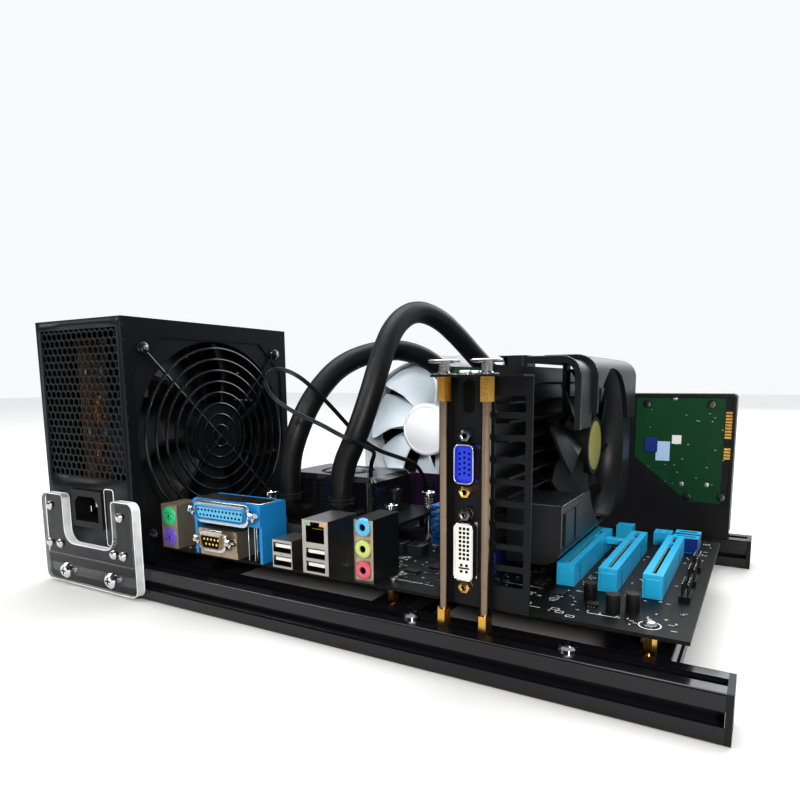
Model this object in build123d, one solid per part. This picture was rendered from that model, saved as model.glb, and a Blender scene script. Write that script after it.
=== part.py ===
from build123d import *
import math
import os

# Open air test bench: a slotted-rail frame that carries a power supply, a main board with
# a water-cooled processor, a graphics card on two support rods and a drive on edge.
# Millimetres, +Z up, the table at z = 0, the ports face -Y.

# Frame of slotted square rails
RAIL = 20.0
RAIL_LEN = 410.0
FRAME_DEPTH = 263.0
RAIL_CORNER = 1.0
SLOT_MOUTH = 6.2
SLOT_LIP = 1.8
SLOT_HALL = 11.0
SLOT_FLOOR = 5.4
SLOT_DEPTH = 6.1
CORE_BORE = 4.2
CAP_T = 2.5
CROSS_END_INSET = 10.0

# Screws: shank and head sizes
M4_SHANK = 4.0
M4_HEAD = 8.0
M4_HEAD_H = 2.4
LARGE_HEAD = 10.0
LARGE_HEAD_H = 2.8
M3_SHANK = 3.0
M3_HEAD = 6.0
M3_HEAD_H = 2.0
HOLE_CLEAR = 0.2
NUT_W = 10.0
NUT_L = 10.0
NUT_H = 1.3
RAIL_SCREW_A = 121.0
RAIL_SCREW_B = 46.0

# Clear U-shaped plate in front of the power supply
PLATE_T = 5.0
PLATE_W = 93.0
PLATE_LIFT = 2.0
PLATE_H = 58.0
PLATE_BAR = 26.5
PLATE_HORN_L = 23.0
PLATE_HORN_R = 20.0
PLATE_ROUND = 5.0
PLATE_INNER_ROUND = 9.0
PLATE_REACH = 1.6
PLATE_SCREW_A = 22.5
PLATE_SCREW_B = 68.5

# Power supply standing on its narrow side
PSU_W = 86.0
PSU_D = 140.0
PSU_H = 150.0
PSU_WALL = 1.0
PSU_INSET = 1.6
PSU_FIT = 0.1
PSU_FAN_EDGE = 4.0
PSU_FAN_T = 25.0
PSU_HOLE_EDGE = 9.0
PSU_OPENING_LIP = 2.0
PSU_OPENING_CUT = 22.0
PSU_FAN_BLADES = 7
WIRE = 1.8
RING_PITCH = 8.0
RING_MARGIN = 7.0
MESH_PITCH = 9.0
MESH_HOLE = 7.6
MESH_EDGE = 8.0
MESH_SIDE = 9.0
MESH_CLEAR = 5.0
INLET_W = 27.5
INLET_H = 20.0
INLET_D = 18.0
INLET_LIP = 2.0
INLET_UP = 32.0
INLET_X = 42.0
PSU_BOARD_T = 1.6
PSU_BOARD_LIFT = 6.0
PSU_BOARD_EDGE = 8.0
PSU_BOARD_Y = 22.0
PSU_POST = 6.0
PSU_SINK_X = 38.0
PSU_SINK_T = 4.0
PSU_SINK_Z = 30.0
PSU_SINK_A = 45.0
PSU_SINK_B = 92.0
PSU_SINK_FIN = 10.0
PSU_SINK_PITCH = 13.0

# Main board
BOARD_W = 304.8
BOARD_D = 170.0
BOARD_T = 1.6
BOARD_INSET_X = 14.0
BOARD_GAP = 3.6
BOARD_INSET_Y = 15.5
STANDOFF_H = 9.0
STANDOFF_AF = 5.5
HOLE_COL_RIGHT = 16.51
HOLE_COL_MID = 140.97
HOLE_COL_LEFT = 298.45
HOLE_ROW_FRONT = 10.16
HOLE_ROW_LEFT = 33.02
HOLE_ROW_REAR = 165.1
PORT_OVERHANG = 1.5
DSUB_NUT = 4.5
SLOT_PITCH = 20.32
SLOT_X = 20.9
SLOT_Y = 43.6
PCI_L = 84.8
PCI_W = 8.9
PCI_H = 11.4
LONG_SLOT_L = 89.0
LONG_SLOT_W = 7.5
SLOT_GAP = 2.0
SLOT_GAP_D = 8.2
SLOT_END = 3.0
SLOT_KEY = 2.0
PCI_KEY = 20.0
LONG_KEY = 14.0
DIMM_L = 133.35
DIMM_H = 30.0
DIMM_T = 1.3
DIMM_SLOT_L = 142.0
DIMM_SLOT_W = 6.8
DIMM_SLOT_H = 8.4
DIMM_GAP_D = 5.6
DIMM_ROW_FRONT = 151.0
DIMM_ROW_REAR = 161.5
DIMM_CLIP_W = 8.0
DIMM_CLIP_H = 9.0
DIMM_X = 84.8

# Pump, radiator and hoses
PUMP_X = 82.8
PUMP_Y = 85.5
PUMP_W = 71.0
PUMP_D = 50.0
PUMP_H = 35.0
PUMP_ROUND = 5.0
PUMP_FACET = 3.0
PUMP_RING = 36.0
PUMP_RING_W = 3.0
PUMP_RING_CUT = 0.8
SOCKET_W = 44.0
SOCKET_H = 4.0
COLD_PLATE = 46.0
COLD_PLATE_H = 3.0
COOLER_X = 96.0
COOLER_Y = 48.0
STRAP_T = 2.0
STRAP_LIFT = 14.0
SPRING_HEAD = 9.0
SPRING_HEAD_H = 2.6
SPRING_UP = 25.0
SPRING_R = 3.4
SLEEVE_R = 3.2
HOSE_D = 14.0
HOSE_PITCH = 41.0
LEAD_D = 2.6
PLUG_X = 39.0
PLUG_Y = 37.65
PLUG_W = 8.0
PLUG_D = 6.0
PLUG_H = 13.4
ELBOW_REACH = 11.0
ELBOW_UP = 17.5
ELBOW_RISE = 14.0
ELBOW_BEND = 8.0
COLLAR_L = 5.0
COLLAR_T = 1.0
TANK_COLLAR_L = 10.0
TANK_COLLAR_UP = 39.0
TANK_COLLAR_DOWN = 10.5
FAN = 120.0
FAN_T = 25.0
FAN_BORE = 115.0
FAN_HUB = 44.0
FAN_BLADES = 7
FAN_SWEEP = 20.0
FAN_RING = 2.5
FLANGE_T = 4.0
STRUT_W = 4.0
STRUT_T = 2.5
SHAFT_SEAT = 1.5
SHAFT_GAP = 0.5
ROTOR_BACK = 4.0
ROTOR_FRONT = 0.6
BLADE_BACK = 2.0
BLADE_T = 1.6
HUB_WALL = 2.0
SHAFT = 4.0
SHAFT_CLEAR = 0.05
TIP_CLEAR = 1.2
RADIATOR_T = 27.0
TANK_W = 18.0
RADIATOR_LIFT = 11.5
FOOT_W = 22.0
FOOT_CROWN = 16.0
FOOT_T = 2.0
FOOT_EDGE = 1.0
RADIATOR_X = 82.4
FIN_T = 0.8
FIN_COUNT = 9
TUBE_T = 2.0
TUBE_COUNT = 8

# Graphics card and its support rods
CARD_SLOT_NO = 4
CARD_T = 1.6
CARD_L = 172.0
CARD_TOP = 107.0
CARD_SEAT = 0.4
CARD_LIFT = 1.0
CARD_EDGE = 0.3
CARD_PORT_X = 7.5
PORT_BODY_X = 13.0
PORT_BODY_Y = 12.0
PORT_REACH = 5.0
PORT_SHELL_W = 9.0
PORT_SHELL_T = 0.6
PORT_SHELL_ROUND = 2.4
PORT_FACE = 1.0
PORT_FIT = 0.2
JACK_AF = 4.8
JACK_BORE = 2.6
JACK_L = 4.0
VGA_UP = 64.5
VGA_H = 17.0
VGA_JACKS = 25.0
DVI_UP = 25.0
DVI_H = 26.0
DVI_JACKS = 33.3
BRACKET_T = 0.9
BRACKET_W = 42.0
BRACKET_LEFT = 4.3
BRACKET_TAB = 12.0
BRACKET_TAIL = 9.5
BRACKET_GAP = 0.8
BRACKET_TOP = 113.0
OBLONG_UP = 94.0
OBLONG_L = 15.0
OBLONG_W = 6.0
VENT_COUNT = 9
VENT_UP = 14.0
VENT_PITCH = 9.6
VENT_W = 14.0
VENT_H = 7.0
VENT_ROUND = 1.0
VENT_EDGE = 10.0
ROD_SHIFT = 1.8
ROD_D = 4.2
ROD_HEX_AF = 6.0
ROD_HEX_LOW = 8.0
ROD_HEX_TOP = 10.5
SHROUD_L = 158.0
SHROUD_Y = 29.0
SHROUD_LIFT = 13.5
SHROUD_GAP = 14.5
SHROUD_DEPTH = 27.0
SHROUD_H = 98.0
SHROUD_WALL = 2.0
SHROUD_ROUND = 9.0
LOWER_BOX_H = 29.0
LOWER_BOX_L = 40.0
PANEL_PROUD = 1.0
PANEL_L = 15.0
PANEL_GAP = 3.0
PANEL_EDGE = 4.0
HOOD_H = 35.0
HOOD_SETBACK = 24.0
HOOD_STEP_Y = 52.0
HOOD_STEP = 2.5
HOOD_LIP_L = 4.0
HOOD_LIP = 1.0
HOOD_CLIP_L = 8.0
HOOD_CLIP_H = 10.0
CARD_FAN = 90.0
CARD_FAN_Y = 92.0
CARD_FAN_T = 20.0
CARD_STRUT = 8.0
CARD_SINK_LIFT = 2.5
CARD_SINK_BASE = 3.5
CARD_SINK_PAD = 36.0
CARD_SINK_EDGE = 3.0
CARD_SINK_END = 2.0
CARD_FINS = 10
CARD_FIN_T = 1.2
CARD_FAN_HUB = 34.0
CARD_FAN_BLADES = 9

# Drive standing on its long side
DRIVE_L = 147.0
DRIVE_H = 101.6
DRIVE_T = 26.1
DRIVE_GAP = 3.0
DRIVE_BOARD_T = 1.6
DRIVE_RECESS = 2.4
DRIVE_CORNER = 3.0
DRIVE_HOLE = 2.8
DRIVE_HOLE_D = 5.0
DRIVE_HOLE_Y = 6.35
DRIVE_HOLE_A = 28.5
DRIVE_HOLE_B = 70.1
DRIVE_HOLE_C = 130.1
DRIVE_PLUG_Z = 50.0
DRIVE_PLUG_L = 42.0
DRIVE_PLUG_W = 5.0
DRIVE_PLUG_D = 6.0
DRIVE_PLUG_Y = 4.0
DRIVE_TONGUE = 1.4
DRIVE_HUB_X = 105.0
DRIVE_HUB = 68.0
DRIVE_HUB_D = 1.5

RIGHT = RAIL_LEN / 2
LEFT = -RAIL_LEN / 2
FRONT_REACH = PLATE_T + LARGE_HEAD_H
REAR_REACH = DRIVE_T - RAIL
FRONT = -(FRAME_DEPTH + REAR_REACH - FRONT_REACH) / 2
REAR = FRONT + FRAME_DEPTH
DECK = RAIL
SLOT_LINE = FRONT + RAIL / 2
LOAD_W = PSU_W + BOARD_GAP + BOARD_W
PSU_X0 = (PSU_INSET - BOARD_INSET_X - LOAD_W) / 2
PSU_X1 = PSU_X0 + PSU_W
PLATE_X0 = PSU_X0 - PLATE_REACH
BOARD_X0 = PSU_X1 + BOARD_GAP
BOARD_X1 = BOARD_X0 + BOARD_W
BOARD_Y0 = FRONT + BOARD_INSET_Y
BOARD_Y1 = BOARD_Y0 + BOARD_D
BOARD_Z0 = DECK + STANDOFF_H
BOARD_Z = BOARD_Z0 + BOARD_T
PSU_Y1 = FRONT + PSU_D
PSU_Z1 = DECK + PSU_H
PSU_FAN = min(PSU_D, PSU_H) - 2 * PSU_FAN_EDGE
PSU_FAN_HOLE = PSU_FAN / 2 - PSU_HOLE_EDGE
PSU_OPENING = PSU_FAN - 2 * PSU_OPENING_LIP
RING_COUNT = int((PSU_OPENING / 2 - RING_MARGIN) / RING_PITCH)
MESH_ROWS = int((PSU_H - PSU_WALL - MESH_EDGE - INLET_UP - INLET_H / 2 - INLET_LIP - MESH_CLEAR) / MESH_PITCH)
MESH_COLS = int((PSU_W - 2 * MESH_SIDE) / MESH_PITCH)
HOLE_COLS = (HOLE_COL_RIGHT, HOLE_COL_MID, HOLE_COL_LEFT)

pieces = {}
small_screws = []
LOW = (Align.CENTER, Align.CENTER, Align.MIN)


def slab(x0, x1, y0, y1, z0, z1):
    """Block between two corners."""
    return Pos((x0 + x1) / 2, (y0 + y1) / 2, (z0 + z1) / 2) * Box(x1 - x0, y1 - y0, z1 - z0)


def bar(radius, start, end):
    """Round bar from one point to another."""
    along = Vector(*end) - Vector(*start)
    return Plane(origin=start, z_dir=along) * Cylinder(radius, along.length, align=LOW)


def along_x(sketch, x0, length):
    """Sketch drawn in (y, z) and pulled towards +X."""
    return extrude(Plane.YZ.offset(x0) * sketch, length, dir=(1, 0, 0))


def along_y(sketch, y0, length):
    """Sketch drawn in (x, z) and pulled towards +Y."""
    return extrude(Plane.XZ.offset(-y0) * sketch, length, dir=(0, 1, 0))


def along_z(sketch, z0, length):
    """Sketch drawn in (x, y) and pulled towards +Z."""
    return extrude(Plane.XY.offset(z0) * sketch, length, dir=(0, 0, 1))


def hexagon(across_flats):
    """Hexagon with two flats facing the second axis."""
    return RegularPolygon(across_flats / math.sqrt(3), 6)


def pan_screw(shank, head, head_h, length):
    """Screw along Z with its domed head above z = 0 and its shank below."""
    shank_line = [(0, -length), (shank / 2, -length), (shank / 2, 0)]
    dome_line = [(head * 0.36, head_h * 0.85), (head * 0.18, head_h), (0, head_h)]
    outline = Polyline(*shank_line, (head / 2, 0), (head / 2, head_h * 0.4), *dome_line, close=True)
    return revolve(Plane.XZ * make_face(outline), Axis.Z)


# Frame
def rail_profile():
    """Square section with a slot in each side and a bore in its core."""
    half = RAIL / 2
    tee = Polygon((half + 1, SLOT_MOUTH / 2), (half - SLOT_LIP, SLOT_MOUTH / 2),
                  (half - SLOT_LIP, SLOT_HALL / 2), (half - SLOT_LIP - 1.4, SLOT_HALL / 2),
                  (half - SLOT_DEPTH, SLOT_FLOOR / 2), (half - SLOT_DEPTH, -SLOT_FLOOR / 2),
                  (half - SLOT_LIP - 1.4, -SLOT_HALL / 2), (half - SLOT_LIP, -SLOT_HALL / 2),
                  (half - SLOT_LIP, -SLOT_MOUTH / 2), (half + 1, -SLOT_MOUTH / 2), align=None)
    section = RectangleRounded(RAIL, RAIL, RAIL_CORNER) - Circle(CORE_BORE / 2)
    return section - [Rot(0, 0, 90 * k) * tee for k in range(4)]


section = rail_profile()
rear_line = REAR - RAIL / 2
for name, y in (("rail_front", SLOT_LINE), ("rail_rear", rear_line)):
    pieces[name] = along_x(Pos(y, RAIL / 2) * section, LEFT, RAIL_LEN)

cross_x = [BOARD_X1 - col for col in HOLE_COLS] + [LEFT + CROSS_END_INSET]
cross_rail = along_y(Pos(0, RAIL / 2) * section, FRONT + RAIL, FRAME_DEPTH - 2 * RAIL)
pieces["cross_rails"] = [Pos(x, 0) * cross_rail for x in cross_x]

cap = extrude(Plane.YZ * RectangleRounded(RAIL, RAIL, RAIL_CORNER), CAP_T)
pieces["end_caps"] = [Pos(RIGHT, y, RAIL / 2) * cap for y in (SLOT_LINE, rear_line)]
pieces["end_caps"] += [Pos(LEFT - CAP_T, y, RAIL / 2) * cap for y in (SLOT_LINE, rear_line)]

# Button-head screws in the front rail's top slot, each with a nut under the slot's lips
nut = Pos(0, 0, -SLOT_LIP - NUT_H / 2) * Box(NUT_L, NUT_W, NUT_H)
stud = pan_screw(M4_SHANK, M4_HEAD, M4_HEAD_H, SLOT_DEPTH - 1.0)
pieces["rail_screws"] = [Pos(BOARD_X1 - x, SLOT_LINE, DECK) * (stud + nut)
                         for x in (RAIL_SCREW_A, RAIL_SCREW_B)]

# Clear U-shaped plate, flat against the rail and the supply's rear panel
plate_z1 = PLATE_LIFT + PLATE_H
plate_bar_z = PLATE_LIFT + PLATE_BAR
plate_spots = [(x, DECK + z) for x, z in ((9.5, 32.0), (81.0, 31.0), (6.5, 7.0), (18.0, 7.5),
                                           (73.0, 7.0), (82.0, 7.0))]
gap_w = PLATE_W - PLATE_HORN_L - PLATE_HORN_R
gap_mid = PLATE_X0 + PLATE_HORN_L + gap_w / 2
plate = RectangleRounded(PLATE_W, PLATE_H, PLATE_ROUND)
plate = Pos(PLATE_X0 + PLATE_W / 2, PLATE_LIFT + PLATE_H / 2) * plate
gap_h = 2 * (plate_z1 - plate_bar_z)
plate -= Pos(gap_mid, plate_z1) * RectangleRounded(gap_w, gap_h, PLATE_INNER_ROUND)
plate_end = max(LEFT, PLATE_X0)
plate_rail_x = (plate_end + PLATE_SCREW_A, plate_end + PLATE_SCREW_B)
large_holes = [Pos(x, RAIL / 2) * Circle((M4_SHANK + HOLE_CLEAR) / 2) for x in plate_rail_x]
small_holes = [Pos(PLATE_X0 + x, z) * Circle((M3_SHANK + HOLE_CLEAR) / 2) for x, z in plate_spots]
pieces["psu_plate"] = along_y(plate - large_holes - small_holes, FRONT - PLATE_T, PLATE_T)

to_front = Rot(90, 0, 0)
long_stud = pan_screw(M4_SHANK, LARGE_HEAD, LARGE_HEAD_H, PLATE_T + SLOT_DEPTH - 1.0)
lip_nut = Pos(0, 0, -PLATE_T - SLOT_LIP - NUT_H / 2) * Box(NUT_L, NUT_W, NUT_H)
face_y = FRONT - PLATE_T
pieces["plate_rail_screws"] = [Pos(x, face_y, RAIL / 2) * to_front * (long_stud + lip_nut)
                               for x in plate_rail_x]
short_stud = pan_screw(M3_SHANK, M3_HEAD, M3_HEAD_H, PLATE_T + PSU_WALL + 3.0)
small_screws += [Pos(PLATE_X0 + x, face_y, z) * to_front * short_stud for x, z in plate_spots]

# Power supply: base with the rear panel, the cable-side panel and the left wall
psu_mid_y = FRONT + PSU_D / 2
psu_mid_z = DECK + PSU_H / 2
inner_x1 = PSU_X1 - PSU_WALL - PSU_FIT
panel_mid = (PSU_X0 + inner_x1) / 2
panel = Pos(panel_mid, psu_mid_z) * Rectangle(inner_x1 - PSU_X0, PSU_H)
mesh_z = PSU_Z1 - PSU_WALL - MESH_EDGE - MESH_ROWS * MESH_PITCH / 2
mesh_spots = Pos(panel_mid, mesh_z) * GridLocations(MESH_PITCH, MESH_PITCH, MESH_COLS, MESH_ROWS)
rear_panel = panel - [spot * RegularPolygon(MESH_HOLE / 2, 4) for spot in mesh_spots]
inlet_x = PSU_X0 + INLET_X
inlet_z = DECK + INLET_UP
rear_panel -= Pos(inlet_x, inlet_z) * Rectangle(INLET_W + 2 * PSU_FIT, INLET_H + 2 * PSU_FIT)
rear_panel -= small_holes
cable_panel = panel - Pos(panel_mid, DECK + PSU_H * 0.72) * RectangleRounded(34, 22, 5)
cable_slots = Pos(panel_mid, DECK + PSU_H * 0.3) * GridLocations(10, 1, 6, 1)
cable_panel -= [spot * SlotOverall(46, 4, rotation=90) for spot in cable_slots]
base = along_y(rear_panel, FRONT, PSU_WALL)
base += along_y(cable_panel, PSU_Y1 - PSU_WALL, PSU_WALL)
base += slab(PSU_X0, PSU_X0 + PSU_WALL, FRONT, PSU_Y1, DECK, PSU_Z1)
pieces["psu_base"] = base

# Power supply: cover with the fan opening
fan_hole = chamfer(Rectangle(PSU_OPENING, PSU_OPENING).vertices(), PSU_OPENING_CUT)
fan_corners = GridLocations(2 * PSU_FAN_HOLE, 2 * PSU_FAN_HOLE, 2, 2)
side = Rectangle(PSU_D, PSU_H) - fan_hole
side -= [spot * Circle((M3_SHANK + HOLE_CLEAR) / 2) for spot in fan_corners]
cover = along_x(Pos(psu_mid_y, psu_mid_z) * side, PSU_X1 - PSU_WALL, PSU_WALL)
lid_x0 = PSU_X0 + PSU_WALL + PSU_FIT
lid_y = (FRONT + PSU_WALL + PSU_FIT, PSU_Y1 - PSU_WALL - PSU_FIT)
cover += slab(lid_x0, PSU_X1, lid_y[0], lid_y[1], DECK, DECK + PSU_WALL)
cover += slab(lid_x0, PSU_X1, lid_y[0], lid_y[1], PSU_Z1 - PSU_WALL, PSU_Z1)
pieces["psu_cover"] = cover

# Wire grille of concentric rings on two crossed wires, flat on the cover
reach = 2 * math.hypot(PSU_FAN_HOLE, PSU_FAN_HOLE)
wires = Sketch() + [Circle(RING_PITCH * (k + 1) + WIRE / 2) - Circle(RING_PITCH * (k + 1) - WIRE / 2)
                    for k in range(RING_COUNT)]
wires += [Rectangle(reach, WIRE, rotation=angle) for angle in (45, 135)]
wires += [spot * Circle(M3_HEAD / 2) for spot in fan_corners]
wires -= [spot * Circle((M3_SHANK + HOLE_CLEAR) / 2) for spot in fan_corners]
pieces["psu_grille"] = along_x(Pos(psu_mid_y, psu_mid_z) * wires, PSU_X1, WIRE)
grille_stud = Rot(0, 90, 0) * pan_screw(M3_SHANK, M3_HEAD, M3_HEAD_H, WIRE + PSU_WALL + 3.5)
small_screws += [Pos(PSU_X1 + WIRE, psu_mid_y + y, psu_mid_z + z) * grille_stud
                 for y in (-PSU_FAN_HOLE, PSU_FAN_HOLE) for z in (-PSU_FAN_HOLE, PSU_FAN_HOLE)]


# Axial fan about the local Z axis: the frame's rear face at z = 0, its front at z = depth
def fan_frame(size, bore, depth, hub, hole):
    """Square frame: two flanges on a ring, and a bearing post on four struts."""
    screws = [spot * Circle((M3_SHANK + HOLE_CLEAR) / 2) for spot in GridLocations(2 * hole, 2 * hole, 2, 2)]
    flange = RectangleRounded(size, size, size * 0.06) - Circle(bore / 2) - screws
    ring = Circle(bore / 2 + FAN_RING) - Circle(bore / 2)
    body = along_z(ring, 0, depth)
    body += along_z(flange, 0, FLANGE_T) + along_z(flange, depth - FLANGE_T, FLANGE_T)
    struts = Sketch() + [Rectangle(bore + FAN_RING, STRUT_W, rotation=angle) for angle in (0, 90)]
    body += along_z(struts + Circle(hub / 2), 0, STRUT_T)
    post = along_z(Circle(SHAFT), 0, depth * 0.6)
    return body + post - Pos(0, 0, SHAFT_SEAT) * Cylinder(SHAFT / 2 + SHAFT_CLEAR, depth, align=LOW)


def fan_rotor(bore, depth, hub, count, twist=(46, 24), sweep=FAN_SWEEP):
    """Hub cup with a shaft in the post and pitched blades swept towards their tips."""
    tip = bore / 2 - TIP_CLEAR
    mid_z = depth * 0.56
    chord = (0.80 * math.pi * hub / count / math.cos(math.radians(twist[0])),
             0.86 * math.tau * tip / count / math.cos(math.radians(twist[1])))
    sections = []
    for share in (0.0, 0.5, 1.05):
        radius = hub / 2 - 1.0 + share * (tip - hub / 2 + 1.0)
        pitch = math.radians(twist[0] + share * (twist[1] - twist[0]))
        turn = math.radians(sweep * share)
        out = Vector(math.cos(turn), math.sin(turn), 0)
        across = Vector(-math.sin(turn), math.cos(turn), 0) * math.cos(pitch) + Vector(0, 0, math.sin(pitch))
        place = Plane(origin=out * radius + Vector(0, 0, mid_z), x_dir=across, z_dir=out)
        sections.append(place * Rectangle(chord[0] + share * (chord[1] - chord[0]), BLADE_T))
    swept = Pos(0, 0, ROTOR_BACK) * Cylinder(tip, depth - ROTOR_BACK - BLADE_BACK, align=LOW)
    blade = loft(sections, ruled=True) & swept
    cup_h = depth - ROTOR_BACK - ROTOR_FRONT
    cup = along_z(Circle(hub / 2), ROTOR_BACK, cup_h)
    cup -= along_z(Circle(hub / 2 - HUB_WALL), ROTOR_BACK, cup_h - HUB_WALL)
    shaft_z = SHAFT_SEAT + SHAFT_GAP
    shaft = along_z(Circle(SHAFT / 2), shaft_z, ROTOR_BACK + cup_h - HUB_WALL / 2 - shaft_z)
    return cup + shaft + [Rot(0, 0, 360 * k / count) * blade for k in range(count)]


psu_bore = PSU_FAN - 2 * FAN_RING
psu_fan_x = PSU_X1 - PSU_WALL - PSU_FAN_T
psu_fan_place = Plane(origin=(psu_fan_x, psu_mid_y, psu_mid_z), x_dir=(0, 1, 0), z_dir=(1, 0, 0))
pieces["psu_fan_frame"] = psu_fan_place * fan_frame(PSU_FAN, psu_bore, PSU_FAN_T, FAN_HUB, PSU_FAN_HOLE)
pieces["psu_fan_rotor"] = psu_fan_place * fan_rotor(psu_bore, PSU_FAN_T, FAN_HUB, PSU_FAN_BLADES)

# Mains inlet: a lipped housing with a recess and three blades
lip = Rectangle(INLET_W + 2 * INLET_LIP, INLET_H + 2 * INLET_LIP)
inlet = along_y(lip, -INLET_LIP, INLET_LIP)
inlet += slab(-INLET_W / 2, INLET_W / 2, 0, INLET_D, -INLET_H / 2, INLET_H / 2)
recess = chamfer(Rectangle(INLET_W - 4, INLET_H - 4).vertices().group_by(Axis.Y)[-1], 4)
inlet -= along_y(recess, -INLET_LIP, INLET_D)
blade_spots = [(-7, -1.5), (0, 2.0), (7, -1.5)]
inlet += [slab(x - 1, x + 1, INLET_D - 12, INLET_D - 2, z - 2, z + 2) for x, z in blade_spots]
pieces["psu_inlet"] = Pos(inlet_x, FRONT, inlet_z) * inlet

# Inside of the supply: circuit board on the left wall, two finned heatsinks
board_x = PSU_X0 + PSU_WALL + PSU_BOARD_LIFT
board_y = (FRONT + PSU_BOARD_Y, PSU_Y1 - PSU_BOARD_EDGE)
board_z = (DECK + PSU_BOARD_EDGE, PSU_Z1 - PSU_BOARD_EDGE)
pieces["psu_board"] = slab(board_x, board_x + PSU_BOARD_T, board_y[0], board_y[1], board_z[0], board_z[1])
pieces["psu_board"] += [bar(PSU_POST / 2, (PSU_X0 + PSU_WALL, y, z), (board_x, y, z))
                        for y in (board_y[0] + PSU_POST, board_y[1] - PSU_POST)
                        for z in (board_z[0] + PSU_POST, board_z[1] - PSU_POST)]
sink_x = board_x + PSU_BOARD_T
sinks = []
sink_x1 = sink_x + PSU_SINK_X
sink_low, sink_high = DECK + PSU_SINK_Z, PSU_Z1 - PSU_SINK_Z
fin_total = int((sink_high - sink_low - PSU_POST) / PSU_SINK_PITCH)
for y in (FRONT + PSU_SINK_A, FRONT + PSU_SINK_B):
    sink = slab(sink_x, sink_x1, y, y + PSU_SINK_T, sink_low, sink_high)
    for k in range(fin_total):
        z = sink_low + PSU_POST + PSU_SINK_PITCH * k
        fin_y = y + PSU_SINK_T
        sink += slab((sink_x + sink_x1) / 2, sink_x1, fin_y, fin_y + PSU_SINK_FIN, z, z + PSU_SINK_T / 2)
    sinks.append(sink)
pieces["psu_heatsinks"] = sinks

# Main board, with clearance holes for its screws
hole_spots = [(BOARD_X1 - HOLE_COLS[0], HOLE_ROW_FRONT), (BOARD_X1 - HOLE_COLS[1], HOLE_ROW_FRONT),
              (BOARD_X1 - HOLE_COLS[2], HOLE_ROW_LEFT)]
hole_spots += [(BOARD_X1 - col, HOLE_ROW_REAR) for col in HOLE_COLS]
hole_spots = [(x, BOARD_Y0 + row) for x, row in hole_spots]
sheet = Pos((BOARD_X0 + BOARD_X1) / 2, (BOARD_Y0 + BOARD_Y1) / 2) * Rectangle(BOARD_W, BOARD_D)
sheet -= [Pos(x, y) * Circle((M3_SHANK + 2 * HOLE_CLEAR) / 2) for x, y in hole_spots]
pieces["motherboard"] = along_z(sheet, BOARD_Z0, BOARD_T)

# Brass standoffs, each on a stud with a nut under the cross rail's lips
standoff = along_z(hexagon(STANDOFF_AF), 0, STANDOFF_H)
standoff -= Pos(0, 0, 3) * Cylinder((M3_SHANK + HOLE_CLEAR) / 2, STANDOFF_H, align=LOW)
standoff += Pos(0, 0, -SLOT_LIP - NUT_H / 2) * Box(NUT_W, NUT_L, NUT_H)
standoff += bar(M3_SHANK / 2, (0, 0, -SLOT_LIP - NUT_H - 1), (0, 0, 0))
pieces["standoffs"] = [Pos(x, y, DECK) * standoff for x, y in hole_spots]
board_screw = pan_screw(M3_SHANK, M3_HEAD, M3_HEAD_H, BOARD_T + 4.0)
small_screws += [Pos(x, y, BOARD_Z) * board_screw for x, y in hole_spots]

# Ports along the front edge, each given by its middle from the board's left edge
port_y = BOARD_Y0 - PORT_OVERHANG


def port_box(mid, width, height, depth):
    """Port body standing on the board with its face at the port line."""
    x = BOARD_X0 + mid
    return slab(x - width / 2, x + width / 2, port_y, port_y + depth, BOARD_Z, BOARD_Z + height)


def pocket(mid, up, sketch, depth):
    """Recess in a port's face, its middle at a height above the board."""
    return along_y(Pos(BOARD_X0 + mid, BOARD_Z + up) * sketch, port_y, depth)


PS2_MID, PS2_W, PS2_H = 10.3, 14.0, 27.0
round_port = port_box(PS2_MID, PS2_W, PS2_H, 18)
for up in (7.0, 20.0):
    round_port -= pocket(PS2_MID, up, Circle(5.2), 5)
    round_port += pocket(PS2_MID, up, Circle(3.6), 5)
pieces["ps2_ports"] = round_port

D25_MID, D25_UP, D25_PITCH, D25_FLANGE = 59.5, 27.0, 47.04, 12.5
D9_MID, D9_UP, D9_PITCH = 52.0, 10.0, 25.0


def dee(width, height):
    """D-shaped outline with a short lower side and round corners."""
    half, drop = width / 2, height / 2
    short = half - height * 0.18
    shape = Polygon((-half, drop), (half, drop), (short, -drop), (-short, -drop), align=None)
    return fillet(shape.vertices(), 1.8)


def dsub(mid, up, pitch, shell_w, flange_h, out, flange_t):
    """Flange with a protruding D shell and a jack screw at each end."""
    x, z = BOARD_X0 + mid, BOARD_Z + up
    body = along_y(Pos(x, z) * RectangleRounded(pitch + 6.0, flange_h, 1.5), port_y - flange_t, flange_t)
    body += along_y(Pos(x, z) * dee(shell_w, 8.4), port_y - flange_t - out, out)
    body -= along_y(Pos(x, z) * dee(shell_w - 1.2, 7.2), port_y - flange_t - out, out - 1.5)
    nut_y = port_y - flange_t - DSUB_NUT
    nuts = [along_y(Pos(x + side * pitch / 2, z) * hexagon(JACK_AF), nut_y, DSUB_NUT) for side in (-1, 1)]
    return body + nuts


parallel = dsub(D25_MID, D25_UP, D25_PITCH, 39.0, D25_FLANGE, 5.5, 1.0)
hood = port_box(D25_MID, D25_PITCH + 6.0, D25_UP + D25_FLANGE / 2, 20)
hood -= port_box(D25_MID, D25_PITCH + 2.0, D25_UP - D25_FLANGE / 2, 18)
pieces["parallel_port"] = hood + parallel
serial = dsub(D9_MID, D9_UP, D9_PITCH, 17.4, D25_FLANGE, 5.5, 1.0)
serial += port_box(D9_MID, D9_PITCH + 5.0, D9_UP + 6.0, 14)
pieces["serial_port"] = serial

USB_MID, USB_W, USB_H = 100.2, 13.8, 15.6
LAN_MID, LAN_W, LAN_H = 123.1, 17.0, 29.0


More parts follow.
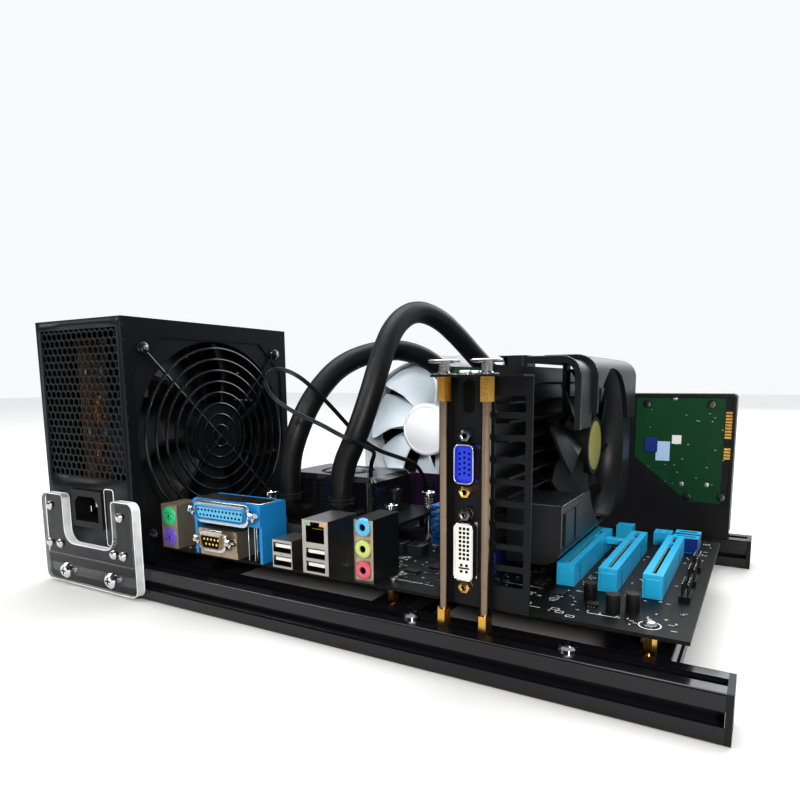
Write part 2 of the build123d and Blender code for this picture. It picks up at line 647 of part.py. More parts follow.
def usb_socket(mid, up):
    """Flat socket recess with a tongue in it."""
    return pocket(mid, up, Rectangle(12.4, 5.4), 9), pocket(mid, up + 0.8, Rectangle(11.0, 1.8), 9)


usb = port_box(USB_MID, USB_W, USB_H, 18)
for up in (4.0, 11.4):
    hollow, tongue = usb_socket(USB_MID, up)
    usb = usb - hollow + Pos(0, 1, 0) * tongue
pieces["usb_ports"] = usb

lan = port_box(LAN_MID, LAN_W, LAN_H, 26)
for up in (4.0, 11.2):
    hollow, tongue = usb_socket(LAN_MID, up)
    lan = lan - hollow + Pos(0, 1, 0) * tongue
LAN_UP = 21.5
lan -= pocket(LAN_MID, LAN_UP, Rectangle(12.0, 9.0), 14)
lan -= pocket(LAN_MID, LAN_UP + 5.3, Rectangle(6.0, 2.4), 14)
pieces["lan_usb_block"] = lan

AUDIO_MID, AUDIO_W, AUDIO_H = 154.0, 11.5, 33.0
audio = port_box(AUDIO_MID, AUDIO_W, AUDIO_H, 24)
JACK_UP, JACK_PITCH, JACK_RIM, JACK_R, JACK_HOLE = 18.0, 11.0, 1.0, 4.4, 1.9
for step in (-1, 0, 1):
    up = JACK_UP + JACK_PITCH * step
    audio += Pos(0, -JACK_RIM) * pocket(AUDIO_MID, up, Circle(JACK_R), JACK_RIM)
    audio -= Pos(0, -JACK_RIM) * pocket(AUDIO_MID, up, Circle(JACK_HOLE), 15)
pieces["audio_jacks"] = audio


# Expansion slots: a long housing with a keyed gap
def card_slot(length, width, height, key):
    """Slot housing along Y from y = 0, standing on z = 0, with a bar across its gap at the key."""
    body = along_z(Pos(0, length / 2) * Rectangle(width, length), 0, height)
    body -= slab(-SLOT_GAP / 2, SLOT_GAP / 2, SLOT_END, key, height - SLOT_GAP_D, height)
    body -= slab(-SLOT_GAP / 2, SLOT_GAP / 2, key + SLOT_KEY, length - SLOT_END, height - SLOT_GAP_D, height)
    return body


slot_y = BOARD_Y0 + SLOT_Y
pci = card_slot(PCI_L, PCI_W, PCI_H, PCI_L - PCI_KEY)
pieces["pci_slots"] = [Pos(BOARD_X1 - SLOT_X - SLOT_PITCH * k, slot_y, BOARD_Z) * pci for k in range(3)]
card_x = BOARD_X1 - SLOT_X - SLOT_PITCH * CARD_SLOT_NO
pieces["long_slot"] = Pos(card_x, slot_y, BOARD_Z) * card_slot(LONG_SLOT_L, LONG_SLOT_W, PCI_H, LONG_KEY)

# Memory slots along X, with one module in the front slot
dimm_x = BOARD_X0 + DIMM_X
dimm_gap = DIMM_T + HOLE_CLEAR
slot = slab(-DIMM_SLOT_L / 2, DIMM_SLOT_L / 2, -DIMM_SLOT_W / 2, DIMM_SLOT_W / 2, 0, DIMM_SLOT_H)
clip = Pos(0, 0, (DIMM_SLOT_H + DIMM_CLIP_H) / 2) * Box(DIMM_CLIP_W, DIMM_SLOT_W, DIMM_SLOT_H + DIMM_CLIP_H)
slot += [Pos(side * DIMM_SLOT_L / 2, 0) * clip for side in (-1, 1)]
slot_cut = (DIMM_L + HOLE_CLEAR) / 2
slot_floor = DIMM_SLOT_H - DIMM_GAP_D
slot -= slab(-slot_cut, slot_cut, -dimm_gap / 2, dimm_gap / 2, slot_floor, DIMM_SLOT_H + 2 * DIMM_CLIP_H)
pieces["memory_slots"] = [Pos(dimm_x, BOARD_Y0 + row, BOARD_Z) * slot
                          for row in (DIMM_ROW_FRONT, DIMM_ROW_REAR)]
dimm_z = BOARD_Z + slot_floor
stick = slab(-DIMM_L / 2, DIMM_L / 2, -DIMM_T / 2, DIMM_T / 2, 0, DIMM_H)
chip_spots = [(-DIMM_L / 2 + 12 + k * 15.6, DIMM_H * 0.62) for k in range(8)]
stick += [slab(x - 4.5, x + 4.5, -DIMM_T / 2 - 1, -DIMM_T / 2, z - 6, z + 6) for x, z in chip_spots]
pieces["memory_module"] = Pos(dimm_x, BOARD_Y0 + DIMM_ROW_FRONT, dimm_z) * stick

# Finned chip heatsink: stacked plates round a core, split by a slit
HS_X, HS_Y, HS_W, HS_PLATES, HS_PITCH = 165.8, 101.5, 38.0, 5, 4.4
plate_face = Rectangle(HS_W, HS_W) - Rectangle(2.5, HS_W)
sink = along_z(Rectangle(HS_W, HS_W), 0, 2.5) + along_z(Rectangle(20, 20), 0, 2.5 + HS_PITCH * HS_PLATES)
sink += [along_z(plate_face, 0.6 + HS_PITCH * (k + 1), 1.9) for k in range(HS_PLATES)]
pieces["chip_heatsink"] = Pos(BOARD_X0 + HS_X, BOARD_Y0 + HS_Y, BOARD_Z) * sink

# Small parts on the board, by place from its left and front edges
choke = along_z(RectangleRounded(10, 10, 1.5), 0, 6)
pieces["chokes"] = [Pos(BOARD_X0 + x, BOARD_Y0 + y, BOARD_Z) * choke
                    for x, y in ((139.0, 58.0), (151.5, 58.0))]
can = Cylinder(3.0, 8.0, align=LOW)
pieces["capacitors"] = [Pos(BOARD_X0 + x, BOARD_Y0 + y, BOARD_Z) * can
                        for x, y in ((271.5, 19.0), (279.0, 24.0), (259.0, 30.0))]
header = slab(-2.5, 2.5, -6.4, 6.4, 0, 2.5)
PIN_PITCH, PIN_W, PIN_H = 2.54, 0.7, 8.5
pin = Box(PIN_W, PIN_W, PIN_H, align=LOW)
header += [spot * pin for spot in GridLocations(PIN_PITCH, PIN_PITCH, 2, 5)]
pieces["pin_headers"] = [Pos(BOARD_X0 + 297.5, BOARD_Y0 + y, BOARD_Z) * header for y in (52.0, 78.0, 104.0)]
BLOCK_W, BLOCK_H, BLOCK_PIT = 10.0, 8.0, 2.4
block = Box(BLOCK_W, BLOCK_W, BLOCK_H, align=LOW)
block -= [spot * Pos(0, 0, BLOCK_H - 6) * Box(BLOCK_PIT, BLOCK_PIT, BLOCK_H, align=LOW)
          for spot in GridLocations(2 * BLOCK_PIT, 2 * BLOCK_PIT, 2, 2)]
pieces["header_blocks"] = [Pos(BOARD_X0 + x, BOARD_Y0 + y, BOARD_Z) * block
                           for x, y in ((250.0, 158.0), (274.0, 150.0))]
sata = slab(-7, 7, -4, 4, 0, 9) - slab(-5.2, 5.2, -1.2, 1.2, 3, 9)
pieces["header_blocks"] += [Pos(BOARD_X0 + 288.0, BOARD_Y0 + y, BOARD_Z) * sata for y in (139.0, 151.0)]

# Processor socket, cold plate and pump
pump_x, pump_y = BOARD_X0 + PUMP_X, BOARD_Y0 + PUMP_Y
socket_z = BOARD_Z + SOCKET_H
pump_z = socket_z + COLD_PLATE_H
pump_top = pump_z + PUMP_H
at_pump = Pos(pump_x, pump_y)
pieces["cpu_socket"] = along_z(at_pump * RectangleRounded(SOCKET_W, SOCKET_W, 2), BOARD_Z, SOCKET_H)
pieces["cold_plate"] = along_z(at_pump * RectangleRounded(COLD_PLATE, COLD_PLATE, 4), socket_z, COLD_PLATE_H)
housing = along_z(at_pump * RectangleRounded(PUMP_W, PUMP_D, PUMP_ROUND), pump_z, PUMP_H)
housing = chamfer(housing.faces().sort_by(Axis.Z)[-1].edges(), PUMP_FACET)
lid_ring = Circle(PUMP_RING / 2) - Circle(PUMP_RING / 2 - PUMP_RING_W)
housing -= along_z(at_pump * lid_ring, pump_top - PUMP_RING_CUT, PUMP_RING_CUT)
pieces["pump_housing"] = housing

# Mounting bracket: ears left and right of the pump, joined behind it, with sprung screws
strap_z = BOARD_Z + STRAP_LIFT
ears = RectangleRounded(COOLER_X + 12, COOLER_Y + 12, 6)
ears -= RectangleRounded(PUMP_W + HOLE_CLEAR, PUMP_D + HOLE_CLEAR, PUMP_ROUND)
ears -= Pos(0, -COOLER_Y / 2 - 6) * Rectangle(PUMP_W - 8, COOLER_Y)
cooler_spots = GridLocations(COOLER_X, COOLER_Y, 2, 2)
ears -= [spot * Circle((M4_SHANK + HOLE_CLEAR) / 2) for spot in cooler_spots]
pieces["pump_bracket"] = along_z(at_pump * ears, strap_z, STRAP_T)
spring_z = strap_z + STRAP_T
spring_top = BOARD_Z + SPRING_UP
head_top = spring_top + SPRING_HEAD_H
sleeve_line = [(0, BOARD_Z), (SLEEVE_R, BOARD_Z), (SLEEVE_R, strap_z), (M4_SHANK / 2, strap_z)]
spring_line = [(M4_SHANK / 2, spring_z), (SPRING_R, spring_z), (SPRING_R, spring_top)]
head_line = [(SPRING_HEAD / 2, spring_top), (SPRING_HEAD / 2, head_top), (0, head_top)]
sprung = Polyline(*sleeve_line, *spring_line, *head_line, close=True)
sprung = revolve(Plane.XZ * make_face(sprung), Axis.Z)
pieces["spring_screws"] = [at_pump * spot * sprung for spot in cooler_spots]

# Radiator on hat-shaped feet over the rear rail, with a fan in front of it
fan_x = PSU_X1 + RADIATOR_X
radiator_z = DECK + RADIATOR_LIFT
fan_z = radiator_z + FAN / 2
radiator_y0 = rear_line - RADIATOR_T / 2
lattice = Rectangle(FAN, FAN) - Rectangle(FAN - 0.1, FAN - 2 * TUBE_T)
row_gap = (FAN - TUBE_T) / TUBE_COUNT
lattice += [Pos(0, (TUBE_T - FAN) / 2 + row_gap * k) * Rectangle(FAN, TUBE_T)
            for k in range(TUBE_COUNT + 1)]
fin_gap = FAN / (FIN_COUNT + 1)
lattice += [Pos(-FAN / 2 + fin_gap * (k + 1), 0) * Rectangle(FIN_T, FAN) for k in range(FIN_COUNT)]
pieces["radiator_core"] = along_y(Pos(fan_x, fan_z) * lattice, radiator_y0, RADIATOR_T)
tank = along_z(RectangleRounded(TANK_W, RADIATOR_T, 5), radiator_z, FAN)
tank_x = (FAN + TANK_W) / 2
pieces["radiator_tanks"] = [Pos(fan_x + side * tank_x, rear_line) * tank for side in (-1, 1)]
hat = Pos(0, FOOT_T / 2) * Rectangle(FOOT_W, FOOT_T)
hat += Pos(0, RADIATOR_LIFT / 2) * Rectangle(FOOT_CROWN, RADIATOR_LIFT)
hat -= Pos(0, (RADIATOR_LIFT - FOOT_T) / 2) * Rectangle(FOOT_CROWN - 2 * FOOT_T, RADIATOR_LIFT - FOOT_T)
foot = along_y(hat, FOOT_EDGE - RAIL / 2, RAIL - 2 * FOOT_EDGE)
pieces["radiator_feet"] = [Pos(fan_x + side * tank_x, rear_line, DECK) * foot for side in (-1, 1)]
fan_hole_at = FAN / 2 - 7.5
fan_place = Plane(origin=(fan_x, radiator_y0, fan_z), x_dir=(1, 0, 0), z_dir=(0, -1, 0))
pieces["fan_frame"] = fan_place * fan_frame(FAN, FAN_BORE, FAN_T, FAN_HUB, fan_hole_at)
pieces["fan_rotor"] = fan_place * fan_rotor(FAN_BORE, FAN_T, FAN_HUB, FAN_BLADES)
fan_screw = pan_screw(M3_SHANK, M3_HEAD, M3_HEAD_H, FAN_T - 1.0)
small_screws += [fan_place * Pos(0, 0, FAN_T) * spot * fan_screw
                 for spot in GridLocations(2 * fan_hole_at, 2 * fan_hole_at, 2, 2)]

# Hose fittings: elbows on the pump's front face, straight collars on the right tank
pump_front = pump_y - PUMP_D / 2
elbow_y = pump_front - ELBOW_REACH
elbow_z = BOARD_Z + ELBOW_UP
hose_r = HOSE_D / 2
hose_z0 = elbow_z + ELBOW_RISE
collar_z0 = hose_z0 - COLLAR_L
elbows = []
for side in (-1, 1):
    x = pump_x + side * HOSE_PITCH / 2
    route = [(x, pump_front, elbow_z), (x, elbow_y, elbow_z), (x, elbow_y, collar_z0 + COLLAR_T)]
    bend = FilletPolyline(*route, radius=ELBOW_BEND)
    elbow = sweep(Plane(origin=bend @ 0, z_dir=bend % 0) * Circle(hose_r - COLLAR_T), path=bend)
    elbow += bar(hose_r + COLLAR_T, (x, elbow_y, collar_z0), (x, elbow_y, hose_z0))
    elbows.append(elbow)
tank_mid = fan_x + tank_x
collar_y = radiator_y0 - TANK_COLLAR_L
collar_z = (fan_z + TANK_COLLAR_UP, fan_z - TANK_COLLAR_DOWN)
collars = [bar(hose_r + COLLAR_T, (tank_mid, collar_y, z), (tank_mid, radiator_y0, z)) for z in collar_z]
pieces["hose_fittings"] = elbows + collars


# Hoses and lead: straight runs joined by tangent arcs as large as the runs allow
def cord(name, points, diameter):
    """Round tube along a rounded route; prints the bend radii and a check of the volume."""
    points = [Vector(*p) for p in points]
    runs = [b - a for a, b in zip(points, points[1:])]
    radii = []
    for before, after in zip(runs, runs[1:]):
        turn = math.radians(before.get_angle(after))
        radii.append(0.45 * min(before.length, after.length) / math.tan(turn / 2))
    path = FilletPolyline(*points, radius=radii)
    tube = sweep(Plane(origin=path @ 0, z_dir=path % 0) * Circle(diameter / 2), path=path)
    share = tube.volume / (math.pi * diameter ** 2 / 4 * path.length)
    print(name, "radii", [round(r, 1) for r in radii], "volume share", round(share, 4))
    return tube


def from_pump(points):
    """Points given from the pump's middle and the board's top."""
    return [(pump_x + x, pump_y + y, BOARD_Z + z) for x, y, z in points]


ax, bx = pump_x + HOSE_PITCH / 2, pump_x - HOSE_PITCH / 2
mid_a = [(30, -34.35, 66.4), (35, -25.35, 91.4), (36, -13.35, 116.4), (35, 3.65, 136.4),
        (37, 26.65, 147.4), (43.5, 47.65, 143.4), (50, 65.65, 131.4), (56, 80.65, 118.4),
        (62, 94.65, 107.4)]
mid_b = [(-15, -34.35, 68.4), (-11, -21.35, 92.4), (-4, 2.65, 114.4), (13, 37.65, 124.4),
        (31, 61.65, 116.4), (40.5, 81.65, 95.4), (45, 90.15, 76.4), (53.5, 94.65, 62.4),
        (62, 102.65, 53.9)]
hose_a = [(ax, elbow_y, hose_z0)] + from_pump([(HOSE_PITCH / 2, elbow_y - pump_y, 47.4)] + mid_a)
hose_a += [(tank_mid, collar_y - 18.85, collar_z[0]), (tank_mid, collar_y, collar_z[0])]
hose_b = [(bx, elbow_y, hose_z0)] + from_pump([(-HOSE_PITCH / 2, elbow_y - pump_y, 49.4)] + mid_b)
hose_b += [(tank_mid, collar_y - 14.35, collar_z[1]), (tank_mid, collar_y, collar_z[1])]
pieces["hose_a"] = cord("hose_a", hose_a, HOSE_D)
pieces["hose_b"] = cord("hose_b", hose_b, HOSE_D)
mid_lead = [(30, -18.35, 49.4), (35, -21.35, 56.4), (40, -30.35, 60.4), (39, -41.35, 64.4),
        (30, -49.35, 70.4), (17, -50.35, 76.4), (4, -51.35, 80.9), (-9, -51.85, 86.4),
        (-19, -52.35, 92.9), (-23.5, -51.85, 100.4), (-21, -50.35, 107.4), (-13.5, -47.35, 108.9),
        (-5, -42.35, 104.4), (1, -35.35, 96.4), (5, -25.35, 86.4), (9, -15.35, 75.4), (15, -7.35, 64.4),
        (23, 0.65, 56.4), (31, 11.65, 51.4), (37, 23.65, 46.4), (39, 32.65, 37.4)]
plug_x, plug_y = pump_x + PLUG_X, pump_y + PLUG_Y
plug_top = BOARD_Z + PLUG_H
lead = [(pump_x + 30, pump_y - 18.35, pump_top)] + from_pump(mid_lead)
lead += [(plug_x, plug_y, plug_top + 12), (plug_x, plug_y, plug_top)]
pieces["pump_lead"] = cord("pump_lead", lead, LEAD_D)
pieces["lead_plug"] = Pos(plug_x, plug_y, BOARD_Z) * Box(PLUG_W, PLUG_D, PLUG_H, align=LOW)

# Graphics card: board with an edge connector in the long slot
bracket_y = BOARD_Y0 - BRACKET_T - BRACKET_GAP
card_y0 = bracket_y + BRACKET_T
card_z1 = BOARD_Z + CARD_TOP
slot_top = BOARD_Z + PCI_H
edge_z = slot_top - SLOT_GAP_D + CARD_SEAT
card_z0 = slot_top + CARD_LIFT
card = Pos(card_y0 + CARD_L / 2, (card_z0 + card_z1) / 2) * Rectangle(CARD_L, card_z1 - card_z0)
key_y = slot_y + LONG_KEY
edge_y = [(slot_y + SLOT_END, key_y), (key_y + SLOT_KEY, slot_y + LONG_SLOT_L - SLOT_END)]
for y0, y1 in edge_y:
    card += Pos((y0 + y1) / 2, (edge_z + card_z0) / 2) * Rectangle(y1 - y0 - 2 * CARD_EDGE, card_z0 - edge_z)
pieces["card_board"] = along_x(card, card_x - CARD_T / 2, CARD_T)
card_face = card_x + CARD_T / 2

# Two-slot bracket: port column, ladder of vents and a tab over the support rods
bracket_x0 = card_x - BRACKET_LEFT
bracket_x1 = bracket_x0 + BRACKET_W
tab_z = DECK + BRACKET_TOP
tail_z = DECK + BRACKET_TAIL
port_x = card_face + CARD_PORT_X
front = Pos((bracket_x0 + bracket_x1) / 2, (tail_z + tab_z) / 2) * Rectangle(BRACKET_W, tab_z - tail_z)
front -= Pos(port_x, BOARD_Z + OBLONG_UP) * SlotOverall(OBLONG_L, OBLONG_W, rotation=90)
for up, height in ((VGA_UP, VGA_H), (DVI_UP, DVI_H)):
    front -= Pos(port_x, BOARD_Z + up) * Rectangle(PORT_SHELL_W + 2 * PORT_FIT, height + 2 * PORT_FIT)
vent_x = bracket_x1 - VENT_EDGE
vent = RectangleRounded(VENT_W, VENT_H, VENT_ROUND)
front -= [Pos(vent_x, BOARD_Z + VENT_UP + VENT_PITCH * k) * vent for k in range(VENT_COUNT)]
bracket = along_y(front, bracket_y, BRACKET_T)
tab_y0 = bracket_y - BRACKET_TAB
rod_x = (card_x - ROD_SHIFT, card_x - ROD_SHIFT + SLOT_PITCH)
tab_l = BRACKET_TAB + BRACKET_T
tab = Pos((bracket_x0 + bracket_x1) / 2, tab_y0 + tab_l / 2) * Rectangle(BRACKET_W, tab_l)
tab -= [Pos(x, SLOT_LINE) * Circle((M3_SHANK + HOLE_CLEAR) / 2) for x in rod_x]
pieces["card_bracket"] = bracket + along_z(tab, tab_z, BRACKET_T)


def card_port(up, shell_h, pitch):
    """Port block on the card with its shell through the bracket and a jack screw below it."""
    z = BOARD_Z + up
    half = shell_h / 2 + PORT_FACE
    outer = RectangleRounded(PORT_SHELL_W, shell_h, PORT_SHELL_ROUND)
    inner_size = (PORT_SHELL_W - 2 * PORT_SHELL_T, shell_h - 2 * PORT_SHELL_T)
    inner = RectangleRounded(*inner_size, PORT_SHELL_ROUND - PORT_SHELL_T)
    block = slab(card_face, card_face + PORT_BODY_X, card_y0, card_y0 + PORT_BODY_Y, z - half, z + half)
    block += along_y(Pos(port_x, z) * outer, bracket_y - PORT_REACH, PORT_REACH + BRACKET_T)
    block -= along_y(Pos(port_x, z) * inner, bracket_y - PORT_REACH, PORT_FACE)
    nut = hexagon(JACK_AF) - Circle(JACK_BORE / 2)
    nuts = [along_y(Pos(port_x, z + side * pitch / 2) * nut, bracket_y - JACK_L, JACK_L) for side in (-1, 1)]
    return block, nuts


vga, vga_nuts = card_port(VGA_UP, VGA_H, VGA_JACKS)
dvi, dvi_nuts = card_port(DVI_UP, DVI_H, DVI_JACKS)
pieces["card_vga"], pieces["card_dvi"] = [vga] + vga_nuts, [dvi] + dvi_nuts

# Support rods with hex ends; the lower ends have a stud and a nut in the rail's slot
hex_top_z = tab_z - ROD_HEX_TOP
low_hex = along_z(hexagon(ROD_HEX_AF), 0, ROD_HEX_LOW) + nut
low_hex += bar(M3_SHANK / 2, (0, 0, -SLOT_LIP - NUT_H - 1), (0, 0, 0))
top_hex = along_z(hexagon(ROD_HEX_AF), hex_top_z, ROD_HEX_TOP)
top_hex -= Pos(0, 0, tab_z - 6) * Cylinder((M3_SHANK + HOLE_CLEAR) / 2, 10, align=LOW)
tab_screw = pan_screw(M3_SHANK, M3_HEAD, M3_HEAD_H, BRACKET_T + 4.0)
pieces["rod_hexes"], pieces["card_rods"] = [], []
for x in rod_x:
    pieces["rod_hexes"] += [Pos(x, SLOT_LINE, DECK) * low_hex, Pos(x, SLOT_LINE) * top_hex]
    pieces["card_rods"].append(bar(ROD_D / 2, (x, SLOT_LINE, DECK + ROD_HEX_LOW), (x, SLOT_LINE, hex_top_z)))
    small_screws.append(Pos(x, SLOT_LINE, tab_z + BRACKET_T) * tab_screw)

# Card cooler: a shroud open towards the card, with a hood above, a closed box below and a fan between
shroud_x0 = card_face + SHROUD_GAP
shroud_x1 = shroud_x0 + SHROUD_DEPTH
shroud_y0 = card_y0 + SHROUD_Y
shroud_y1 = shroud_y0 + SHROUD_L
shroud_z0 = BOARD_Z + SHROUD_LIFT
shroud_z1 = shroud_z0 + SHROUD_H
shroud_mid_z = shroud_z0 + SHROUD_H / 2
box_top = shroud_z0 + LOWER_BOX_H
hood_z0 = shroud_z1 - HOOD_H
hood_y0 = shroud_y0 + HOOD_SETBACK
step_y0 = shroud_y0 + HOOD_STEP_Y
card_fan_y = shroud_y0 + CARD_FAN_Y
card_side = Pos(shroud_x0 - SHROUD_DEPTH, shroud_mid_z) * Rectangle(2 * SHROUD_DEPTH, 2 * SHROUD_H)


def shroud_outline(grow):
    """Outer section of the shroud, square towards the card, drawn in (x, z)."""
    size = (2 * (SHROUD_DEPTH + grow), SHROUD_H + 2 * grow)
    return Pos(shroud_x0, shroud_mid_z) * RectangleRounded(*size, SHROUD_ROUND + grow) - card_side


def between(z0, z1):
    """Band of the shroud's section between two heights."""
    return Pos(shroud_x0, (z0 + z1) / 2) * Rectangle(4 * SHROUD_DEPTH, z1 - z0)


skin = shroud_outline(0) - shroud_outline(-SHROUD_WALL)
hood_band = between(hood_z0, shroud_z1 + SHROUD_H)
shroud = along_y(skin, shroud_y0, SHROUD_L)
shroud -= slab(shroud_x0, shroud_x1 + 1, shroud_y0 - 1, card_fan_y, box_top, hood_z0)
shroud -= slab(shroud_x0, shroud_x1 + 1, shroud_y0 - 1, hood_y0, hood_z0 - 1, shroud_z1 + 1)
hollow = shroud_outline(-SHROUD_WALL)
shroud += along_y((shroud_outline(HOOD_STEP) - hollow) & hood_band, step_y0, shroud_y1 - step_y0)
shroud += along_y((shroud_outline(HOOD_LIP) - hollow) & hood_band, hood_y0, HOOD_LIP_L)
shroud += along_y(shroud_outline(0) & between(shroud_z0, box_top), shroud_y0, SHROUD_WALL)
shroud += slab(shroud_x0, shroud_x1, shroud_y0, shroud_y0 + LOWER_BOX_L, box_top - SHROUD_WALL, box_top)
for k in range(2):
    panel_y = shroud_y0 + PANEL_EDGE + (PANEL_L + PANEL_GAP) * k
    shroud += slab(shroud_x1 - 1, shroud_x1 + PANEL_PROUD, panel_y, panel_y + PANEL_L,
                   shroud_z0 + SHROUD_ROUND, box_top - PANEL_EDGE)
clip_x = shroud_x1 + HOOD_STEP
clip_z = hood_z0 + HOOD_CLIP_H
clip_y = step_y0 + HOOD_LIP_L
shroud += slab(clip_x - 1, clip_x + HOOD_LIP, clip_y, clip_y + HOOD_CLIP_L, clip_z, clip_z + HOOD_CLIP_H)
fan_eye = Pos(card_fan_y, shroud_mid_z)
shroud -= along_x(fan_eye * Circle(CARD_FAN / 2), shroud_x0, SHROUD_DEPTH + 2 * HOOD_STEP)
strut = Rectangle(CARD_STRUT, SHROUD_H - SHROUD_WALL) + Circle(CARD_FAN_HUB / 2)
shroud += along_x(fan_eye * strut, shroud_x0, STRUT_T)
shroud += along_x(fan_eye * Circle(SHAFT), shroud_x0, CARD_FAN_T * 0.6)
shroud -= along_x(fan_eye * Circle(SHAFT / 2 + SHAFT_CLEAR), shroud_x0 + SHAFT_SEAT, CARD_FAN_T)
pieces["card_shroud"] = shroud
card_fan_place = Plane(origin=(shroud_x0, card_fan_y, shroud_mid_z), x_dir=(0, 1, 0), z_dir=(1, 0, 0))
pieces["card_fan_rotor"] = card_fan_place * fan_rotor(CARD_FAN, CARD_FAN_T, CARD_FAN_HUB, CARD_FAN_BLADES)

# Finned block between the card and the shroud, on a pad over the card's chip
sink_y = (shroud_y0 + CARD_SINK_END, shroud_y1 - CARD_SINK_END)
sink_z = (shroud_z0 + CARD_SINK_EDGE, shroud_z1 - CARD_SINK_EDGE)
sink_x = card_face + CARD_SINK_LIFT
fin_x = sink_x + CARD_SINK_BASE
sink = slab(sink_x, fin_x, sink_y[0], sink_y[1], sink_z[0], sink_z[1])
sink += along_x(fan_eye * Rectangle(CARD_SINK_PAD, CARD_SINK_PAD), card_face, CARD_SINK_LIFT)
for k in range(1, CARD_FINS):
    z = sink_z[0] + (sink_z[1] - sink_z[0]) * k / CARD_FINS
    sink += slab(fin_x, shroud_x0, sink_y[0], sink_y[1], z - CARD_FIN_T / 2, z + CARD_FIN_T / 2)
pieces["card_heatsink"] = sink

# Drive on its long side: casting with a recess for its circuit board
drive_x0 = tank_mid + TANK_W / 2 + DRIVE_GAP
drive_x1 = drive_x0 + DRIVE_L
drive_y0 = REAR - RAIL
drive_z1 = DECK + DRIVE_H
board_outline = [(66, 99), (2, 99), (2, 24), (28, 24), (66, 55)]
recess = Polygon(*[(drive_x1 - x, DECK + z) for x, z in board_outline], align=None)
casting = slab(drive_x0, drive_x1, drive_y0, drive_y0 + DRIVE_T, DECK, drive_z1)
casting = fillet(casting.edges().filter_by(Axis.Y), DRIVE_CORNER)
hub_at = Pos(drive_x1 - DRIVE_HUB_X, DECK + DRIVE_H / 2)
casting -= along_y(hub_at * Circle(DRIVE_HUB / 2), drive_y0, DRIVE_HUB_D)
casting -= along_y(recess, drive_y0, DRIVE_RECESS)

# Threaded holes along the drive's upper side, and a socket with a tongue at its end
for x in (DRIVE_HOLE_A, DRIVE_HOLE_B, DRIVE_HOLE_C):
    hole_at = Pos(drive_x1 - x, drive_y0 + DRIVE_HOLE_Y)
    casting -= along_z(hole_at * Circle(DRIVE_HOLE / 2), drive_z1 - DRIVE_HOLE_D, DRIVE_HOLE_D)
port_at = Pos(drive_y0 + DRIVE_PLUG_Y + DRIVE_PLUG_W / 2, DECK + DRIVE_PLUG_Z + DRIVE_PLUG_L / 2)
port_low = drive_x1 - DRIVE_PLUG_D
casting -= along_x(port_at * Rectangle(DRIVE_PLUG_W, DRIVE_PLUG_L), port_low, DRIVE_PLUG_D)
tongue = Rectangle(DRIVE_TONGUE, DRIVE_PLUG_L - 2 * DRIVE_TONGUE)
casting += along_x(port_at * tongue, port_low, DRIVE_PLUG_D - DRIVE_TONGUE)
pieces["drive_case"] = casting
drive_board = offset(recess, -HOLE_CLEAR, kind=Kind.INTERSECTION)
pieces["drive_board"] = along_y(drive_board, drive_y0 + DRIVE_RECESS - DRIVE_BOARD_T, DRIVE_BOARD_T)

pieces["small_screws"] = small_screws
os.makedirs("parts", exist_ok=True)
for name, shape in pieces.items():
    if isinstance(shape, list):
        shape = Compound(children=[s if isinstance(s, Solid) else s.solid() for s in shape])
    export_step(shape, f"parts/{name}.step")
print(len(pieces), "pieces")
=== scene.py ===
"""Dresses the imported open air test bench: fine detail, finishes, hoses, floor, light and camera."""
import logging
import math
from collections.abc import Sequence
from dataclasses import dataclass
from enum import Enum
from typing import ClassVar

import bmesh
import bpy
import numpy as np
from mathutils import Matrix, Vector


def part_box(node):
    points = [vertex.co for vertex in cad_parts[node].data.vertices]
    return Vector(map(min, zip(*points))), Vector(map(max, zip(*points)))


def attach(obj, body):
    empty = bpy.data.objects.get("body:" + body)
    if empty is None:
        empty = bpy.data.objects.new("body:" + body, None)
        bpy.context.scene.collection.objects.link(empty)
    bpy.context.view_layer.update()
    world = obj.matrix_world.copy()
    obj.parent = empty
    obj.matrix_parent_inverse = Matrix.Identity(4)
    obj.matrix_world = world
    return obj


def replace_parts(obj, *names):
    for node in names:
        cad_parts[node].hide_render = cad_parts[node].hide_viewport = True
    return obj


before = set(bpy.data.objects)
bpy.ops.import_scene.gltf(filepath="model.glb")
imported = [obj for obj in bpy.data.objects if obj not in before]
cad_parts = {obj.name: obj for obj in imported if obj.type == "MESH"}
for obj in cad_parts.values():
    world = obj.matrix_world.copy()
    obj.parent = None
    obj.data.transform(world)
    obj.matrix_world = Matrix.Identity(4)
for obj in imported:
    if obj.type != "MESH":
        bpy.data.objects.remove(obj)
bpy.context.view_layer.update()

MM = 0.001
WELD = 0.002 * MM
SLIVER = 1e-7
BENCH = "bench"
BOTH = (-1, 1)
LOG = logging.getLogger("bench")
Array = np.ndarray
Point = Sequence[float]


class Way(Enum):
    """Way that a shape built along Z is laid to face: what its X, Y and Z axes become."""

    FRONT = ((1, 0, 0), (0, 0, 1), (0, -1, 0))
    REAR = ((-1, 0, 0), (0, 0, 1), (0, 1, 0))
    RIGHT = ((0, 1, 0), (0, 0, 1), (1, 0, 0))


@dataclass
class Shell:
    """One surface in millimetres of the shared frame: points, quads and larger flat faces."""

    points: Array
    quads: Array
    flats: tuple[tuple[int, ...], ...] = ()

    def turn(self, axes: Array) -> "Shell":
        """Copy whose X, Y and Z axes become the rows of a matrix."""
        return Shell(self.points @ np.asarray(axes, float), self.quads, self.flats)

    def face(self, way: Way) -> "Shell":
        """Copy laid to face one of the named ways."""
        return self.turn(way.value)

    def moved(self, offset: Point) -> "Shell":
        """Copy shifted by an offset."""
        return Shell(self.points + np.asarray(offset, float), self.quads, self.flats)


